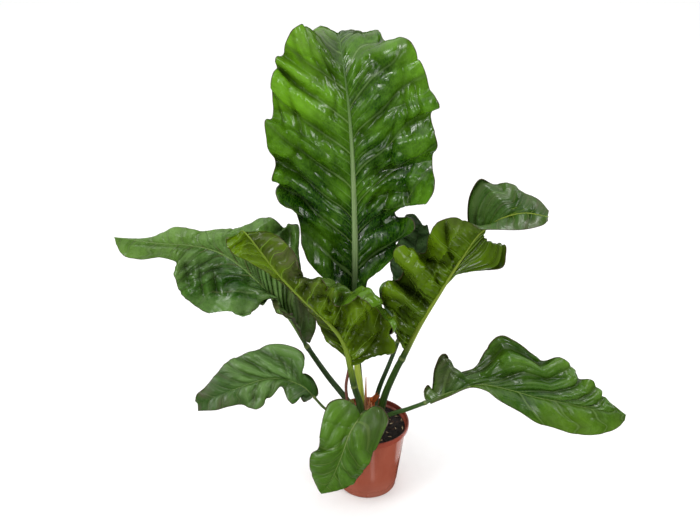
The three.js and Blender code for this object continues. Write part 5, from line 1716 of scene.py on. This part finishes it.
def shoot_material():
    material, t, place = blank_material("rolled_young_leaf")
    axis = add(t, "ShaderNodeSeparateXYZ", {0: place}).outputs
    around = add(t, "ShaderNodeAttribute", attribute_name="around").outputs["Fac"]
    share = add(t, "ShaderNodeAttribute", attribute_name="share").outputs["Fac"]
    streak = add(t, "ShaderNodeCombineXYZ", {0: around, 1: share}).outputs[0]
    streak = add(t, "ShaderNodeVectorMath", {0: streak, 1: (18, 3, 1)}, operation="MULTIPLY").outputs[0]
    streak = add(t, "ShaderNodeTexNoise", {"Vector": streak, "Scale": 1, "Detail": 3}).outputs[0]
    leaf, sheath = (
        add(t, "ShaderNodeMix", {0: streak, 6: colour(dark), 7: colour(light)}, data_type="RGBA").outputs[2]
        for dark, light in (("#6a8c10", "#bcc650"), ("#3c2018", "#6a4030"))
    )
    low = add(t, "ShaderNodeMapRange", {"Value": axis[2], 1: SHEATH_END[0], 2: SHEATH_END[1], 3: 1,
                                        4: 0.0}).outputs[0]
    tone = add(t, "ShaderNodeMix", {0: low, 6: leaf, 7: sheath}, data_type="RGBA").outputs[2]
    bump = add(t, "ShaderNodeBump", {"Height": streak, "Distance": 0.0006, "Strength": 0.5}).outputs[0]
    shader = add(t, "ShaderNodeBsdfPrincipled", {
        "Base Color": tone, "Roughness": 0.4, "Normal": bump, "IOR": 1.45})
    add(t, "ShaderNodeOutputMaterial", {"Surface": shader.outputs[0]})
    return material


print("the young leaf's sheath ends", SHEATH_END[1], "m above the floor")

# %% Young leaf and old stalk
def stem_line(low, high):
    """A line through low points in mm and then points of the photograph."""
    return Line(np.vstack([np.array(low) * MM, seen(high)]))


DRY_STALK = "#75453a"
SHOOT_GIRTHS = [4.4, 5.0, 6.0, 7.4, 8.2, 6.8, 1.0]  # mm from foot to tip
shoot_line = stem_line([[-1, 3, 161], [-1, 3, 176], [-1, 3, 184]],
                       [[362.2, 402, 2], [359.6, 386, 2], [357.4, 372, 2], [356.2, 354, 4]])
share = np.linspace(0, 1, 50)
shoot = rods("rolled_leaf", [(shoot_line.at(share), keyed(SHOOT_GIRTHS, share) * MM, 0.0)],
             shoot_material(), sides=24, ridges=3.0, depth=0.07)
old_line = stem_line([[-42, -5, 128], [-42, -5, 154], [-42, -5, 160]],
                     [[347, 400, -5], [346, 385, -5], [349, 369, -5]])
share = np.linspace(0, 1, 60)
wrinkled = 3.4 * (1 + 0.12 * (field(share * 14, 0.5, 9) - 0.5)) * MM
dry = stalk_material("dry_leaf_stalk", DRY_STALK, DRY_STALK, DRY_STALK, DRY_STALK, "#8a5a44")
old = rods("old_leaf_stalk", [(old_line.at(share), wrinkled, 0.0)], dry, sides=20, ridges=5.0, depth=0.08)
for made, node in ((shoot, "young_shoot"), (old, "old_stalk")):
    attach(made, "root")
    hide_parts(node)
print("young leaf and old stalk grown")

# %% [markdown]
# ## Floor
# The photograph is a cut-out on white, so the floor is a pale paper sheet that takes a soft shadow.
# Wax would mirror so wide a white sheet and turn the leaves milky, so the floor isn't mirrored. A few
# small cards on it are, and one gives the pot the bright upright strip that it has in the photograph.

# %% Floor and cards
FLOOR_HALF = 9  # metres
CARD_LIFT = 0.0003  # metres: cards lie just above the floor
CARDS = (  # corners of each card on the floor, in metres
    [(-0.28, -0.42), (-0.075, -0.1), (-0.1, -0.05), (-0.42, -0.17)],
    [(0.13, 0.0), (0.5, 0.05), (0.5, 0.5), (0.08, 0.32)],
    [(0.028, -0.25), (0.066, -0.25), (0.036, -0.105), (0.016, -0.105)],
)
paper, t, place = blank_material("pale_paper_floor")
fleck = add(t, "ShaderNodeTexNoise", {"Vector": place, "Scale": per(33.3)}).outputs[0]
tone = add(t, "ShaderNodeMix", {0: fleck, 6: colour("#f6f6f5"), 7: colour("#fafafa")},
           data_type="RGBA").outputs[2]
shader = add(t, "ShaderNodeBsdfPrincipled", {"Base Color": tone, "Roughness": 0.9})
add(t, "ShaderNodeOutputMaterial", {"Surface": shader.outputs[0]})

corners = [(x * FLOOR_HALF, y * FLOOR_HALF, 0) for x, y in ((-1, -1), (1, -1), (1, 1), (-1, 1))]
floor = piece("floor", corners, [(0, 1, 2, 3)])
floor.visible_glossy = False
cards = piece("table_cards", [(x, y, CARD_LIFT) for card in CARDS for x, y in card],
              [tuple(range(4 * k, 4 * k + 4)) for k in range(len(CARDS))])
for made in (floor, cards):
    made.data.materials.append(paper)
print("floor and", len(CARDS), "cards laid")

# %% [markdown]
# ## Light
# The photograph was taken under soft studio light. A very large soft box hangs above and behind. Four
# smaller ones, in front to the left and right, at the side and low in front, give the waxy leaves
# their highlights. A dim white surrounding fills the shadows and isn't mirrored either.

# %% Light
SKY = 0.35
SOFT_BOXES = {  # place, what it faces, size in metres, watts
    "ceiling": ((0.0, 3.0, 5.0), (0, 3.0, 0), 15.0, 760),
    "key_left": ((-2.2, -2.2, 2.3), (0, 0, 0.6), 0.85, 46),
    "key_right": ((2.4, -1.6, 2.0), (0, 0, 0.6), 0.9, 24),
    "side_right": ((3.0, 0.6, 0.9), (0, 0, 0.4), 1.4, 18),
    "low_front": ((-1.2, -2.9, 1.0), (0, 0, 0.5), 1.1, 18),
}
world = bpy.data.worlds.new("studio")
world.use_nodes = True
world.node_tree.nodes["Background"].inputs["Color"].default_value = (1, 1, 1, 1)
world.node_tree.nodes["Background"].inputs["Strength"].default_value = SKY
world.cycles_visibility.glossy = False
bpy.context.scene.world = world
for name, (where, goal, size, watts) in SOFT_BOXES.items():
    lamp = bpy.data.lights.new(name, "AREA")
    lamp.energy, lamp.size = watts, size
    made = bpy.data.objects.new(name, lamp)
    made.location = where
    away = np.array(where) - np.array(goal)
    made.rotation_euler = (
        math.atan2(math.hypot(away[0], away[1]), away[2]), 0, math.atan2(away[1], away[0]) + math.pi / 2
    )
    bpy.context.scene.collection.objects.link(made)
bpy.context.scene.view_settings.view_transform = "Standard"
print("stage set with", len(SOFT_BOXES), "soft boxes")
